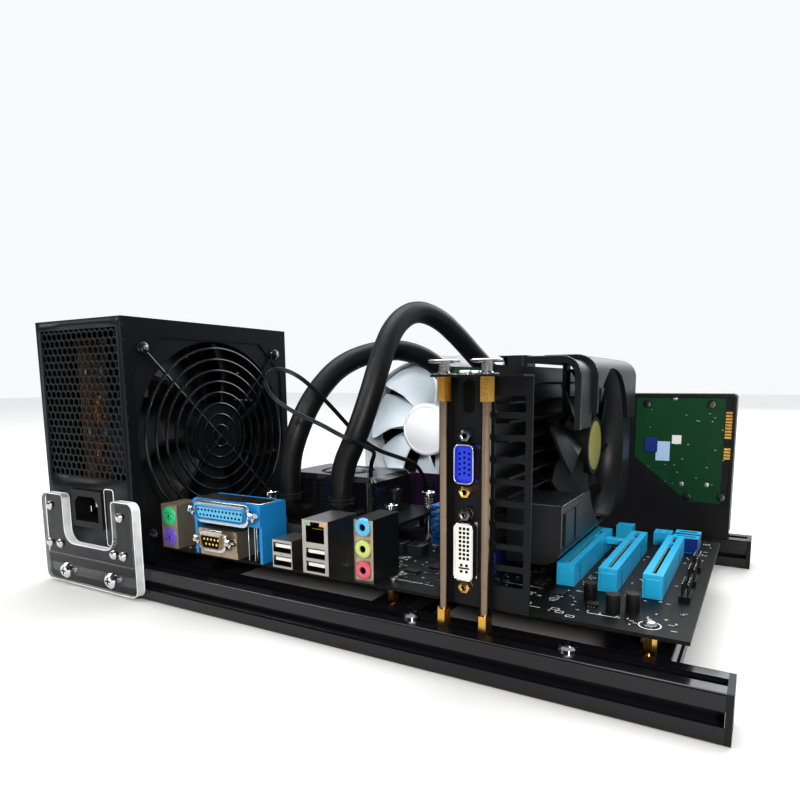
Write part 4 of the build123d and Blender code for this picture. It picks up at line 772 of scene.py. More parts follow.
@dataclass
class ClearPlate(Assembly):
    """Clear U-shaped plate with a painted highlight along its edges, and its bright screws."""

    FINISHES: ClassVar[dict[str, Finish]] = {
        "psu_plate": ACRYLIC, "plate_rail_screws": CHROME, "small_screws": PLATED}
    thickness: float = 5.0
    horn_l: float = 23.0
    horn_r: float = 20.0
    bar: float = 26.5
    corner: float = 5.0
    inner: float = 9.0
    tip: float = 2.5
    bead: float = 0.32
    head: float = 5.0
    head_up: float = 10.0

    def outline(self) -> Array:
        """Closed outline of the U: a quarter turn about the middle of each rounded corner.

        Returns:
            Points across the plate's face.
        """
        (left, _, bottom), (right, _, top) = span("psu_plate")
        gap_l, gap_r, floor = left + self.horn_l, right - self.horn_r, bottom + self.bar
        c, i, t = self.corner, self.inner, self.tip
        corners = np.array([
            (left + c, bottom + c, c, 180, 1), (right - c, bottom + c, c, 270, 1),
            (right - c, top - c, c, 0, 1), (gap_r + t, top - t, t, 90, 1),
            (gap_r - i, floor + i, i, 0, -1), (gap_l + i, floor + i, i, 270, -1),
            (gap_l - t, top - t, t, 0, 1), (left + c, top - c, c, 90, 1)])
        x, z, radius, start, way = corners.T[:, :, None]
        angle = np.radians(start) + way * np.linspace(0, math.pi / 2, 7)
        return np.stack([x + radius * np.cos(angle), z + radius * np.sin(angle)], axis=-1).reshape(-1, 2)

    def build(self) -> None:
        """Lays near-white strips along the edges as a painted highlight, and adds dark crosses of painted
        shade for the recesses of the large screws.
        """
        low, high = span("psu_plate")
        flat = self.outline()
        bead = loop(flat, circle(self.bead, 8)).face(Way.FRONT)
        band = loop(flat, rounded(0.1, self.thickness - 0.2, 0.04, 2)).face(Way.FRONT)
        for name, edge, depth in (("plate_front_edge", bead, low[1]), ("plate_rear_edge", bead, high[1]),
                                  ("plate_edge_band", band, (low[1] + high[1]) / 2)):
            piece(name, edge.moved((0, depth, 0)), ACRYLIC_EDGE_HIGHLIGHT)
        low, high = span("plate_rail_screws")
        # Dark crosses on the large screws: painted shade for their recesses.
        arms = (4.6, 0.9), (0.9, 4.6)
        cross = join([layered(rounded(*arm, 0.2, 2), [(-0.4, 0), (0.05, 0)]) for arm in arms])
        spots = [(x, low[1], self.head_up) for x in (low[0] + self.head, high[0] - self.head)]
        piece("plate_screw_crosses", repeat(cross.face(Way.FRONT), spots), HOLE_SHADE)


@dataclass
class PowerSupply(Assembly):
    """Black supply on its side: fine mesh panel, wire grille, inlet and what glints inside."""

    FINISHES: ClassVar[dict[str, Finish]] = {
        "psu_cover": POWDER_BLACK, "psu_fan_frame": MOULDED_BLACK, "psu_fan_rotor": MOULDED_BLACK,
        "psu_inlet": MOULDED_BLACK, "psu_board": BOARD_TAN, "psu_heatsinks": ALUMINIUM}
    wall: float = 1.0
    mesh_wall: float = 0.6
    pitch: float = 5.2
    hole: float = 4.1
    mesh_z: tuple[float, float] = (72.0, 164.0)
    wire: float = 1.8
    rings: int = 8
    ring_pitch: float = 7.4
    ring_steps: int = 72
    eyelet: float = 3.1
    coils: tuple[tuple[float, ...], ...] = ((11.0, 5.0, 5.2, 18.0, 112.0), (7.7, 3.6, 3.8, 14.0, 84.0))
    cans: tuple[float, ...] = (140.0, 98.0, 70.0)

    def panel(self) -> None:
        """Rear panel: a windowed sheet over a honeycomb that shows in its upper two thirds."""
        low, high = span("psu_base")
        inlet = span("psu_inlet")
        window = (low[0] + 5.0, high[0] - 4.0, *self.mesh_z)
        throat = (inlet[0][0] + 2.0, inlet[1][0] - 2.0, inlet[0][2] + 2.0, inlet[1][2] - 2.0)
        face = low[1] + self.wall / 2
        sheet = windowed((low[0], high[0]), (low[2], high[2]), [window, throat]).face(Way.FRONT)
        left, right, bottom, top = window
        comb = honeycomb((left - 2, right - 1), (bottom - 2, top - 1), self.pitch, self.hole)
        comb = comb.face(Way.FRONT).moved((0, face + 0.1, 0))
        front = piece("supply_panel", sheet.moved((0, face, 0)), POWDER_BLACK)
        mesh = piece("supply_mesh", comb, POWDER_BLACK)
        shell = self.rest_of_base(low[1] + self.wall)
        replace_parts(thick(front, self.wall), "psu_base")
        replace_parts(thick(mesh, self.mesh_wall), "psu_base")
        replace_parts(shell, "psu_base")

    @staticmethod
    def rest_of_base(panel_end: float) -> bpy.types.Object:
        """Copy of the base without its rear panel.

        Args:
            panel_end: Where the rear panel ends, in millimetres.

        Returns:
            The left wall and the cable side as one piece.
        """
        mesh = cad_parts["psu_base"].data.copy()
        work = bmesh.new()
        work.from_mesh(mesh)
        bmesh.ops.remove_doubles(work, verts=work.verts, dist=1e-6)
        limit = (panel_end + 0.02) * MM
        panel = [f for f in work.faces if max(v.co.y for v in f.verts) < limit]
        bmesh.ops.delete(work, geom=panel, context="FACES")
        work.to_mesh(mesh)
        work.free()
        return declare(linked("supply_shell", mesh), POWDER_BLACK)

    def grille(self) -> None:
        """Wire grille: round rings and two crossed wires that end in loops round the corner screws."""
        low, high = span("psu_grille")
        middle = (low + high) / 2
        reach = (high[1] - low[1]) / 2 - 3.0
        wire = circle(self.wire / 2, 8)
        wires = [loop(circle(self.ring_pitch * (k + 1), self.ring_steps), wire) for k in range(self.rings)]
        ends = np.linspace(-reach + 2.2, reach - 2.2, 24)
        eyelet = loop(circle(self.eyelet, self.ring_steps), wire)
        for way in (1, -1):
            wires.append(swept(np.stack([ends, way * ends, np.full(24, -0.5)], axis=-1), wire))
            wires.append(repeat(eyelet, [(s * reach, way * s * reach, -0.3) for s in BOTH]))
        shell = join(wires).face(Way.RIGHT).moved(middle)
        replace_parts(piece("supply_grille", shell, WIRE_BLACK), "psu_grille")
        head = turned([(0, 0.5), (1.2, 0.5), (1.4, 1.0), (2.3, 0.8), (3.1, 0.2), (3.15, -1.9)], 20)
        corners = [(high[0] + 0.9, middle[1] + a * reach, middle[2] + b * reach) for a in BOTH for b in BOTH]
        piece("grille_screw_caps", repeat(head.face(Way.RIGHT), corners), GLOSS_BLACK)

    def inlet(self) -> None:
        """Bright blades in the mains inlet and the bare rounded plate beside it."""
        low, high = span("psu_inlet")
        x, z = (low[0] + high[0]) / 2, (low[2] + high[2]) / 2
        prong = block((-1.15, -13, -2.15), (1.15, -2, 2.15))
        spots = [(x + a, high[1], z + b) for a, b in ((-7, -1.5), (0, 2.0), (7, -1.5))]
        piece("inlet_blades", repeat(prong, spots), PLATED)
        place = (high[0] + 5.4, span("psu_base")[0][1] - 0.1, z - 4.0)
        rim = loop(rounded(9.0, 36.0, 1.8, 5), circle(0.36, 6)).face(Way.FRONT)
        piece("bare_plate_rim", rim.moved(place), SILK)
        plate = layered(rounded(8.8, 35.8, 1.7, 5), [(-0.1, 0), (0.15, 0), (0.25, 0.3)]).face(Way.FRONT)
        piece("bare_plate", plate.moved(place), SATIN_BLACK)

    def inside(self) -> None:
        """Coils whose radius waves with their turns, cans, a transformer and the cable bushing."""
        low, high = span("psu_board")
        face, depth = high[0], low[1]
        wave = 1 + 0.08 * np.cos(24 * np.arange(48) * math.tau / 48)
        coils = [loop(circle(radius, 48) * wave[:, None], circle(wound, 12)).face(Way.RIGHT)
                 .moved((face + out, depth + back, z)) for radius, wound, out, back, z in self.coils]
        piece("supply_coils", join(coils), DARK_COPPER)
        low, high = span("psu_base")
        plug = layered(rounded(33.6, 21.6, 4.8, 6),
                       [(-2.5, 1.0), (-1.5, 0), (0.6, 0), (1.0, 0.4), (0.2, 3.0)])
        hole = ((low[0] + high[0]) / 2, high[1], low[2] + 0.72 * (high[2] - low[2]))
        piece("cable_bushing", plug.face(Way.REAR).moved(hole), MOULDED_BLACK)
        rear = high[1]
        core = block((face + 0.5, rear - 34, 36), (face + 30, rear - 3, 92), 1.2, 2.0)
        tape = block((face + 0.2, rear - 35.5, 48), (face + 31, rear - 1.5, 80), 0.8, 3.0)
        fin = block((face + 0.3, rear - 6.5, 58), (high[0] - 29.0, rear - 3.5, 98), 0.4, 1.0)
        piece("supply_transformer", join([core, tape, fin]), FERRITE)
        can = turned([(0, 0), (6.5, 0), (6.5, 1), (6.1, 1.6), (6.5, 2.2), (6.5, 27), (6.0, 28), (5.4, 27.6),
                      (0, 27.6)], 20).face(Way.RIGHT)
        spots = [(face, depth + 9, z) for z in self.cans]
        piece("supply_cans", repeat(can, spots), ALUMINIUM)

    def build(self) -> None:
        """Makes the panel, the grille, the inlet's blades and what is inside."""
        self.panel()
        self.grille()
        self.inlet()
        self.inside()


@dataclass
class MainBoard(Assembly):
    """The board, what is soldered to it and its row of ports."""

    FINISHES: ClassVar[dict[str, Finish]] = {
        "motherboard": BOARD_BLACK, "ps2_ports": TAN_TIN, "parallel_port": PORT_BLUE, "serial_port": TAN_TIN,
        "usb_ports": PORT_TIN, "lan_usb_block": PORT_TIN, "audio_jacks": MOULDED_BLACK, "pci_slots": CYAN,
        "long_slot": DARK_BLUE, "memory_slots": DARK_BLUE, "memory_module": BOARD_PURPLE, "chokes": FERRITE,
        "capacitors": FERRITE, "pin_headers": MOULDED_BLACK, "header_blocks": CYAN,
        "chip_heatsink": ANODISED_BLUE, "cpu_socket": IVORY, "standoffs": BRASS}
    TALL: ClassVar[tuple[str, ...]] = (
        "ps2_ports", "parallel_port", "serial_port", "usb_ports", "lan_usb_block", "audio_jacks", "long_slot",
        "memory_slots", "chip_heatsink", "header_blocks", "pin_headers", "cpu_socket", "chokes", "capacitors",
        "pump_bracket")
    seed: int = 7
    round_port: float = 10.3
    wide_port: tuple[float, float] = (59.5, 27.0)
    narrow_port: tuple[float, float] = (52.0, 10.0)
    shell_out: float = 6.5
    shell_pitch: float = 2.77
    flat_sockets: tuple[tuple[float, float], ...] = ((100.2, 4.0), (100.2, 11.4), (123.1, 4.0), (123.1, 11.2))
    network: tuple[float, float] = (123.1, 21.5)
    audio: float = 154.0
    jack_up: float = 18.0
    jack_pitch: float = 11.0
    jack_window: float = 3.6
    slot_pitch: float = 20.32
    slot_inset: float = 4.45
    fine_pitch: float = 1.27
    pin_pitch: float = 2.54
    hole_cols: tuple[float, ...] = (16.51, 140.97, 298.45)
    hole_rows: tuple[float, ...] = (10.16, 33.02, 165.1)
    hole_room: float = 4.0
    place_step: float = 0.9
    chip_tries: int = 900
    chip_room: float = 1.6
    mark_tries: int = 520
    mark_room: float = 2.2
    bars: tuple[tuple[float, ...], ...] = (
        (216, 8, 26), (216, 34, 18), (250, 38, 10), (160, 12, 20), (226, 26, 8), (262, 12, 14))
    packages: tuple[tuple[float, ...], ...] = (
        (226, 16, 9, 6), (244, 30, 7, 7), (166, 26, 8, 5), (176, 40, 10, 10), (232, 42, 6, 5),
        (262, 22, 5, 4))

    def __post_init__(self) -> None:
        """Reads the board's corner, the port line and the slot lines from the frame."""
        low, high = span("motherboard")
        self.x0, self.y0, self.top, self.bottom = low[0], low[1], high[2], low[2]
        self.size = high - low
        self.line = span("lan_usb_block")[0][1]
        self.lines = [span("pci_slots")[1][0] - self.slot_inset - self.slot_pitch * k for k in range(3)]
        self.random = np.random.default_rng(self.seed)

    def at(self, x: float, y: float, up: float = 0.0) -> Point:
        """Place on the board from its left and front edges and above its face."""
        return (self.x0 + x, self.y0 + y, self.top + up)

    def port(self, x: float, up: float, out: float = 0.0) -> Array:
        """Place on the port line from the board's left edge, above its face and out to the front."""
        return np.array([self.x0 + x, self.line - out, self.top + up])

    def round_ports(self) -> None:
        """Green and violet round sockets with their pin holes and key."""
        angle = np.radians([40, 90, 140, 220, 270, 320])
        holes = np.stack([2.6 * np.cos(angle), np.full(6, -0.73), 2.3 * np.sin(angle)], axis=-1)
        # Dark pin holes and key: painted shade in the round sockets.
        key = block((-0.7, -0.75, -1.2), (0.7, 0.4, 1.0), 0.1)
        pits = join([discs(holes, 0.5, 0.4, 8), key])
        face = turned([(0, 0.7), (4.9, 0.7), (5.4, 0.5), (5.8, 0.0), (5.8, -1.2)], 28).face(Way.FRONT)
        for name, up, finish in (("mouse_socket", 20.0, GREEN), ("keyboard_socket", 7.0, VIOLET)):
            middle = self.port(self.round_port, up)
            piece(name, face.moved(middle), finish)
            piece(name + "_holes", pits.moved(middle), HOLE_SHADE)

    def shell_port(self, name: str, middle: Array, width: float, rows: tuple[int, int], face: Finish,
                   pins: Finish) -> None:
        """D-shaped metal shell round a face with two rows of contacts.

        Args:
            name: Name of the pieces.
            middle: Middle of the shell's front.
            width: Width of the shell.
            rows: Contacts in the upper and the lower row.
            face: Finish of the contact face.
            pins: Finish of the contacts.
        """
        collar = loop(dee_outline(width - 0.2, 8.2), rounded(0.7, 5.0, 0.3, 3)[:, ::-1]).face(Way.FRONT)
        piece(name + "_shell", collar.moved(middle + [0, 2.5, 0]), PLATED, sharp=50)
        inner = layered(dee_outline(width - 1.6, 6.8), [(0, 0), (4.0, 0), (4.3, 0.3)]).face(Way.FRONT)
        piece(name + "_face", inner.moved(middle + [0, 5.2, 0]), face)
        spots = [((k - (count - 1) / 2) * self.shell_pitch, 0.86, z) for count, z in zip(rows, (1.42, -1.42))
                 for k in range(count)]
        piece(name + "_contacts", discs(np.array(spots) + middle, 0.75, 0.4, 10), pins)
        nut = turned([(1.4, -3.2), (1.4, 0.3), (2.0, 0.5), (2.9, 0.0), (2.9, -3.2)], 6).face(Way.FRONT)
        ends = [middle + [s * (width / 2 + 4.0), 1.0, 0] for s in BOTH]
        piece(name + "_nuts", repeat(nut, ends), PLATED, sharp=25)

    def shell_ports(self) -> None:
        """The wide port with its lid and legs, and the narrow port below it."""
        wide, narrow = (self.port(*place, self.shell_out) for place in (self.wide_port, self.narrow_port))
        # The wide port's contact holes and the narrow port's face, deep in its shell, are near-black painted
        # shade.
        self.shell_port("wide_port", wide, 39.0, (13, 12), JACK_BLUE, HOLE_SHADE)
        self.shell_port("narrow_port", narrow, 17.4, (5, 4), HOLE_SHADE, GOLD)
        lid = block((-25.5, -0.8, 33.3), (25.5, 14, 33.9), 0.2).moved(self.at(self.wide_port[0], 0))
        piece("wide_port_lid", lid, PLATED)
        leg = block((0, 0, 0), (0.5, 0.5, 19.5), 0.1)
        spots = [self.at(73 + 2.3 * k, 1.0 + 4 * (k % 2)) for k in range(5)]
        piece("wide_port_legs", repeat(leg, spots), TIN)

    def sockets(self) -> None:
        """Tongues of the flat sockets with near-black sheets of painted shade inside them, and the network
        socket's sheets of painted shade, its pins and lamps.
        """
        spots = [self.port(x, up) for x, up in self.flat_sockets]
        tongue = block((-5.6, 0.9, -0.25), (5.6, 9.5, 1.85), 0.2)
        piece("flat_tongues", repeat(tongue, spots), IVORY)
        # Near-black sheets at the back and the sides of each opening: painted shade inside the sockets.
        shade_sheets = [block((-6.1, 8.6, -2.6), (6.1, 8.98, 2.6), 0.05)]
        shade_sheets += [block((-6.15, 0.5, s * 2.55 - 0.12), (6.15, 8.9, s * 2.55 + 0.12), 0.02) for s in BOTH]
        middle = self.port(*self.network)
        throat = [block((-5.95, 13.6, -4.45), (5.95, 13.98, 4.45), 0.05)]
        throat += [block((s * 5.85 - 0.12, 0.4, -4.45), (s * 5.85 + 0.12, 13.9, 4.45), 0.02) for s in BOTH]
        throat += [block((-5.9, 0.4, s * 4.38 - 0.1), (end, 13.9, s * 4.38 + 0.1), 0.02)
                   for s, end in zip(BOTH, (5.9, -3.1))]
        shade_pieces = join([repeat(join(shade_sheets), spots), join(throat).moved(middle)])
        piece("socket_painted_shade", shade_pieces, HOLE_SHADE)
        pin = block((-3.7, 2.5, 2.2), (-3.3, 9, 2.6), 0.05)
        piece("network_pins", repeat(pin, [middle + [1.02 * k, 0, 0] for k in range(8)]), GOLD)
        lamp = block((-1.5, -0.2, 4.9), (1.5, 1, 6.5))
        for name, side, finish in (("link_lamp", -1, SPARK_GREEN), ("speed_lamp", 1, SPARK_AMBER)):
            piece(name, lamp.moved(middle + [side * 5.6, 0, 0]), finish)

    def jacks(self) -> None:
        """Windowed face plate and the three coloured audio jacks."""
        half = self.jack_window
        middles = [self.jack_up + d * self.jack_pitch for d in (-1, 0, 1)]
        face = windowed((-5.7, 5.7), (0.3, 32.7), [(-half, half, z - half, z + half) for z in middles])
        face = face.face(Way.FRONT).moved(self.port(self.audio, 0, 0.25))
        thick(piece("audio_face", face, TAN_TIN), 0.4)
        ring = turned([(1.88, 0.4), (1.75, 0.6), (1.75, 1.3), (2.3, 1.9), (3.4, 1.9), (4.4, 1.3), (4.7, 0.4),
                       (4.7, -0.5)], 30).face(Way.FRONT)
        for name, up, finish in zip(("jack_in", "jack_out", "jack_voice"), middles[::-1],
                                    (JACK_BLUE, JACK_LIME, JACK_PINK)):
            piece(name, ring.moved(self.port(self.audio, up)), finish)

    def slots(self) -> None:
        """Expansion and memory slots with their contact springs, ribs, ends, chips and latches."""
        low, high = span("pci_slots")
        along = np.concatenate([np.arange(low[1] + 4.2, high[1] - 22.0, self.fine_pitch),
                                np.arange(high[1] - 16.8, high[1] - 4, self.fine_pitch)])
        spring = block((-0.16, -0.3, 0), (0.16, 0.3, 6.0), 0.05)
        spots = [(x + s * 0.86, y, high[2] - 7.2) for x in self.lines for s in BOTH for y in along]
        piece("slot_springs", repeat(spring, spots), GOLD)
        rib = block((-4.6, 0, 0), (4.6, 1.4, 9.2), 0.25)
        spots = [(x, low[1] + y, self.top) for x in self.lines for y in (10.0, 63.0)]
        piece("slot_ribs", repeat(rib, spots), DEEP_CYAN)
        end = block((-3.4, -0.35, 1), (3.4, 0.1, 9.4), 0.2)
        piece("slot_ends", repeat(end, [(x, low[1], self.top) for x in self.lines]), CYAN)
        bridge = block((self.lines[2] + 4.4, high[1] - 16, self.top + 5.5),
                       (self.lines[1] - 4.4, high[1] - 10, self.top + 9), 0.4)
        piece("slot_bridge", bridge, CYAN)
        chip = block((7.5, -0.12, 12.6), (16.5, 0.9, 24.6), 0.2).moved(span("memory_module")[0])
        piece("memory_chips", repeat(chip, [(15.6 * k, 0, 0) for k in range(8)]), CHIP_BLACK)
        low, high = span("memory_slots")
        latch = block((-2.2, -2.4, 8), (2.2, 2.4, 19), 0.8)
        spots = [(x, y, self.top) for x in (low[0] + 4, high[0] - 4) for y in (low[1] + 3.4, high[1] - 3.4)]
        piece("memory_latches", repeat(latch, spots), IVORY)

    def parts(self) -> None:
        """Can sleeves, header pins, data sockets and choke tops."""
        sleeve = turned([(3.06, 0.2), (3.08, 6.9), (2.6, 7.3)], 20)
        cans = [self.at(x, y) for x, y in ((271.5, 19.0), (279.0, 24.0), (259.0, 30.0))]
        piece("can_sleeves", repeat(sleeve, cans), SATIN_BLACK)
        pin = block((-0.34, -0.34, 2.4), (0.34, 0.34, 8.6), 0.15)
        rows = [self.at(297.5 + s * self.pin_pitch / 2, y + d * self.pin_pitch) for y in (52.0, 78.0, 104.0)
                for s in BOTH for d in (-2, -1, 0, 1, 2)]
        piece("header_pins", repeat(pin, rows), PLATED)
        pair = [self.at(288, y) for y in (139.0, 151.0)]
        socket = block((-7.1, -4.1, 0), (7.1, 4.1, 8.8))
        piece("data_sockets", repeat(socket, pair), DARK_BLUE)
        # Dark slot in each data socket's top: painted shade in its opening.
        gap = block((-5.3, -1.2, 8.0), (5.3, 1.2, 8.85), 0.1)
        piece("data_socket_gaps", repeat(gap, pair), HOLE_SHADE)
        top = block((-3.6, -3.6, 5.9), (3.6, 3.6, 6.25), 0.3, 1.2)
        pair = [self.at(x, 58) for x in (139.0, 151.5)]
        piece("choke_tops", repeat(top, pair), GLOSS_BLACK)

    def footprints(self) -> Array:
        """Boxes on the board that fine parts keep clear of.

        Returns:
            Left, front, right and rear of each box, in board places.
        """
        wide = [(*low[:2], *high[:2]) for low, high in map(span, self.TALL)]
        low, high = span("pci_slots")
        ends = [high[0] - self.slot_pitch * k for k in range(3)]
        wide += [(end - 9, low[1], end, high[1]) for end in ends]
        room, right = self.hole_room, self.x0 + self.size[0]
        wide += [(right - c - room, self.y0 + r - room, right - c + room, self.y0 + r + room)
                 for c in self.hole_cols for r in self.hole_rows]
        return np.array(wide) - [self.x0, self.y0, self.x0, self.y0]

    def free(self, count: int, margin: float) -> Array:
        """Seeded random places on the board clear of every footprint.

        Args:
            count: Places to try.
            margin: Room to keep round each.

        Returns:
            Places on the board's face that are free, one row each.
        """
        spots = self.random.uniform([4, 4], self.size[:2] - 4, (count, 2))
        spots = np.round(spots / self.place_step) * self.place_step
        taken = self.footprints()
        hit = (spots[:, None] > taken[:, :2] - margin) & (spots[:, None] < taken[:, 2:] + margin)
        spots = spots[~hit.all(2).any(1)] + [self.x0, self.y0]
        return np.c_[spots, np.full(len(spots), self.top)]

    def chip_parts(self) -> None:
        """Chip resistors and capacitors: a dark or tan body over tinned ends, half of them turned across."""
        places = self.free(self.chip_tries, self.chip_room)
        half = len(places) // 2
        for name, some, (w, d), finish in (("chip_parts_along", places[:half], (1.6, 0.8), CHIP_BLACK),
                                           ("chip_parts_across", places[half:], (0.8, 1.6), TAN_CHIP)):
            ends = block((-w / 2, -d / 2, 0), (w / 2, d / 2, 0.5), 0.05)
            middle = block((-w * 0.32, -d * 0.32, 0), (w * 0.32, d * 0.32, 0.62), 0.05)
            piece(name, repeat(ends, some), TIN)
            piece(name + "_bodies", repeat(middle, some), finish)

    def marks(self) -> None:
        """Printed frames, dashes, crosses and bars, and a ring round a screw hole."""
        places = self.free(self.mark_tries, self.mark_room) + [0, 0, 0.03]
        third = len(places) // 3
        line, ink = np.array([[-1, 0], [1, 0], [1, 1], [-1, 1]]), 0.005
        outline = loop(rounded(3.4, 2.2, 0.1, 2), line * [0.14, 0.02])
        dash = block((-1.3, -0.16, 0), (1.3, 0.16, 0.02), ink)
        cross = join([block((-x, -y, 0), (x, y, 0.02), ink) for x, y in ((0.9, 0.14), (0.14, 0.9))])
        ring = loop(circle(4.4, 32), line * [0.22, 0.03])
        hole = self.at(self.size[0] - self.hole_cols[0], self.hole_rows[0], 0.02)
        bars = [block(self.at(x, y, 0.02), self.at(x + w, y + 0.35, 0.05), ink) for x, y, w in self.bars]
        shapes = [repeat(outline, places[:third]), repeat(dash, places[third:2 * third]),
                  repeat(cross, places[2 * third:]), ring.moved(hole)]
        piece("printed_marks", join(shapes + bars), SILK)

    def chips(self) -> None:
        """Small packages with a row of legs along two sides."""
        bodies = [block(self.at(x - w / 2, y - d / 2, 0.15), self.at(x + w / 2, y + d / 2, 1.5), 0.2)
                  for x, y, w, d in self.packages]
        piece("small_packages", join(bodies), CHIP_BLACK)
        leg, spots = block((-0.2, -0.6, 0), (0.2, 0.6, 0.35), 0.05), []
        for x, y, w, d in self.packages:
            count = int(w / self.fine_pitch)
            spots += [self.at(x + (k - (count - 1) / 2) * self.fine_pitch, y + s * (d / 2 + 0.5))
                      for k in range(count) for s in BOTH]
        piece("package_legs", repeat(leg, spots), TIN)

    def soldered(self) -> None:
        """Soldered pin ends under the slots and the ports."""
        low, high = span("pci_slots")
        bump = turned([(0.75, 0), (0.5, -0.7), (0.25, -1.5), (0, -1.6)], 8)
        under = [(x + s * 1.9, y, self.bottom) for x in self.lines for s in BOTH
                 for y in np.arange(low[1] + 4, high[1] - 4, self.pin_pitch)]
        depth = self.bottom - self.top
        under += [self.at(x, y, depth) for x in np.arange(14, 158, 2.0) for y in (150, 152, 160.5, 162.5)]
        under += [self.at(x, y, depth) for x in np.arange(36, 84, self.shell_pitch) for y in (4, 7)]
        piece("soldered_pins", repeat(bump, under), TIN)

    def build(self) -> None:
        """Makes the ports, the slots and the parts of the board in order."""
        for make in (self.round_ports, self.shell_ports, self.sockets, self.jacks, self.slots, self.parts,
                     self.chip_parts, self.marks, self.chips, self.soldered):
            make()


@dataclass
class LiquidCooler(Assembly):
    """Pump, its sprung screws, radiator and fan."""

    FINISHES: ClassVar[dict[str, Finish]] = {
        "pump_housing": GLOSS_BLACK, "pump_bracket": POWDER_BLACK, "cold_plate": COPPER,
        "hose_fittings": MOULDED_BLACK, "radiator_core": BLACK_METAL, "radiator_tanks": BLACK_METAL,
        "radiator_feet": POWDER_BLACK, "fan_frame": HUB_WHITE}
    ROTOR: ClassVar[str] = "fan_rotor"
    blades: int = 7
    hub: float = 22.0
    tip: float = 56.2
    screw_pitch: tuple[float, float] = (96.0, 48.0)
    spring: tuple[float, float] = (16.0, 25.0)
    rib_pitch: float = 6.6
    fitting: float = 20.5
    fitting_room: float = 10.0
    pump_x: tuple[float, float] = (-51.5, -10.5)
    pump_end: tuple[float, float] = (-65.65, 62.1)
    tank_x: float = 34.0
    tank_z: tuple[float, float] = (130.5, 81.0)
    tubes: int = 8
    folds: int = 121

    def pump(self) -> None:
        """Gloss lid with a ring, a disc and ribs, and ridges on the hose collars."""
        low, high = span("pump_housing")
        middle = (low + high) / 2
        rims = join([loop(circle(r, 56), circle(0.22, 6)) for r in (15.1, 17.9)])
        piece("pump_ring", rims.moved((middle[0], middle[1], high[2] - 0.05)), GLOSS_BLACK)
        disc = layered(circle(13.6, 48), [(-0.2, 0), (0.15, 0), (0.3, 0.3)])
        piece("pump_disc", disc.moved((middle[0], middle[1], high[2])), GLOSS_BLACK)
        rib = block((5, -0.5, 4), (7.4, 0.2, high[2] - low[2] - 5), 0.25).moved(low)
        steps = self.rib_pitch * np.arange(10)
        clear = np.abs(np.abs(low[0] + 6.2 + steps - middle[0]) - self.fitting) > self.fitting_room
        piece("pump_ribs", repeat(rib, [(x, 0, 0) for x in steps[clear]]), SATIN_BLACK)
        self.screws(middle)
        rear = span("hose_fittings")[1][1]
        ridge = turned([(7.9, -0.5), (8.25, -0.3), (8.4, 0), (8.25, 0.3), (7.9, 0.5)], 32)
        depth, height = self.pump_end
        near = [(x, depth, height - d) for x in self.pump_x for d in (1.2, 3.4)]
        far = [(self.tank_x, rear - d, z) for z in self.tank_z for d in (3, 6, 8.4)]
        ridges = join([repeat(ridge, near), repeat(ridge.face(Way.FRONT), far)])
        piece("collar_ridges", ridges, MOULDED_BLACK)

    def screws(self, middle: Array) -> None:
        """Four screws with their springs, each a helix about the shank.

        Args:
            middle: Middle of the pump.
        """
        wide, deep = self.screw_pitch
        board = span("motherboard")[1][2]
        spots = [(middle[0] + a * wide / 2, middle[1] + b * deep / 2, board) for a in BOTH for b in BOTH]
        shank = turned([(0, 0), (3.2, 0), (3.2, 13.6), (2.7, 14.0), (1.9, 14.0), (1.9, 25.2), (0, 25.2)], 20)
        head = turned([(0, 25), (4.1, 25), (4.5, 25.3), (4.5, 27.2), (4.2, 27.5), (2.2, 27.5), (2.0, 26.9),
                       (0, 26.9)], 28)
        coil = swept(spiral(2.85, self.spring[0] + 0.4, self.spring[1] - 0.3, 4.5, 110), circle(0.5, 8))
        screws = piece("sprung_screws", repeat(join([shank, head]), spots), CHROME)
        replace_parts(screws, "spring_screws")
        springs = piece("screw_springs", repeat(coil, spots), PLATED)
        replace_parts(springs, "spring_screws")

    def radiator(self) -> None:
        """Folded fins between the tubes: a triangle wave across, carried through the depth."""
        low, high = span("radiator_core")
        step = (high[2] - low[2] - 2.0) / self.tubes
        across = np.linspace(low[0] + 0.6, high[0] - 0.6, self.folds)
        height = np.where(np.arange(self.folds) % 2, 1.0, -1.0) * (step / 2 - 1.15)
        depth = np.array([[low[1] + 1.2], [high[1] - 1.2]])
        fold = grid(np.stack(np.broadcast_arrays(across, depth, height), axis=-1))
        middles = [(0, 0, low[2] + 1.0 + step * (k + 0.5)) for k in range(self.tubes)]
        thick(piece("radiator_folds", repeat(fold, middles), BLACK_METAL), 0.12)

    def fan(self) -> None:
        """Pale blades on a round hub with a bare disc, inside the white frame."""
        low, high = span(self.ROTOR)
        place = ((low[0] + high[0]) / 2, span("fan_frame")[1][1], (low[2] + high[2]) / 2)
        shape = blade(self.hub - 1.2, self.tip, (41, 45), (15.5, 12.0), 17.0, 1.6)
        wings = spun(shape, self.blades).moved((0, 0, 13.6)).face(Way.FRONT).moved(place)
        thing = piece("fan_blades", wings, BLADE_WHITE, self.ROTOR, sharp=60)
        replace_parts(thick(thing, 1.3, 0.4), "fan_rotor")
        cup = turned([(19.5, 4.2), (20.0, 4.0), (21.9, 4.0), (21.9, 21.6), (21.6, 22.8), (20.6, 23.8),
                      (19.4, 24.2), (18.9, 24.2), (18.7, 24.0), (0, 24.0)], 56)
        shaft = turned([(1.95, 2.1), (1.95, 23)], 20)
        disc = layered(circle(18.2, 56), [(23.9, 0), (24.15, 0), (24.3, 0.25)])
        for name, part, finish, slot in (("fan_hub", cup, HUB_WHITE, "white_plastic"),
                                         ("fan_shaft", shaft, PLATED, "bright_steel"),
                                         ("fan_disc", disc, DISC_WHITE, "white_plastic")):
            thing = piece(name, part.face(Way.FRONT).moved(place), finish, self.ROTOR)
            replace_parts(thing, "fan_rotor")

    def build(self) -> None:
        """Makes the details of the pump, the radiator and the fan."""
        self.pump()
        self.radiator()
        self.fan()


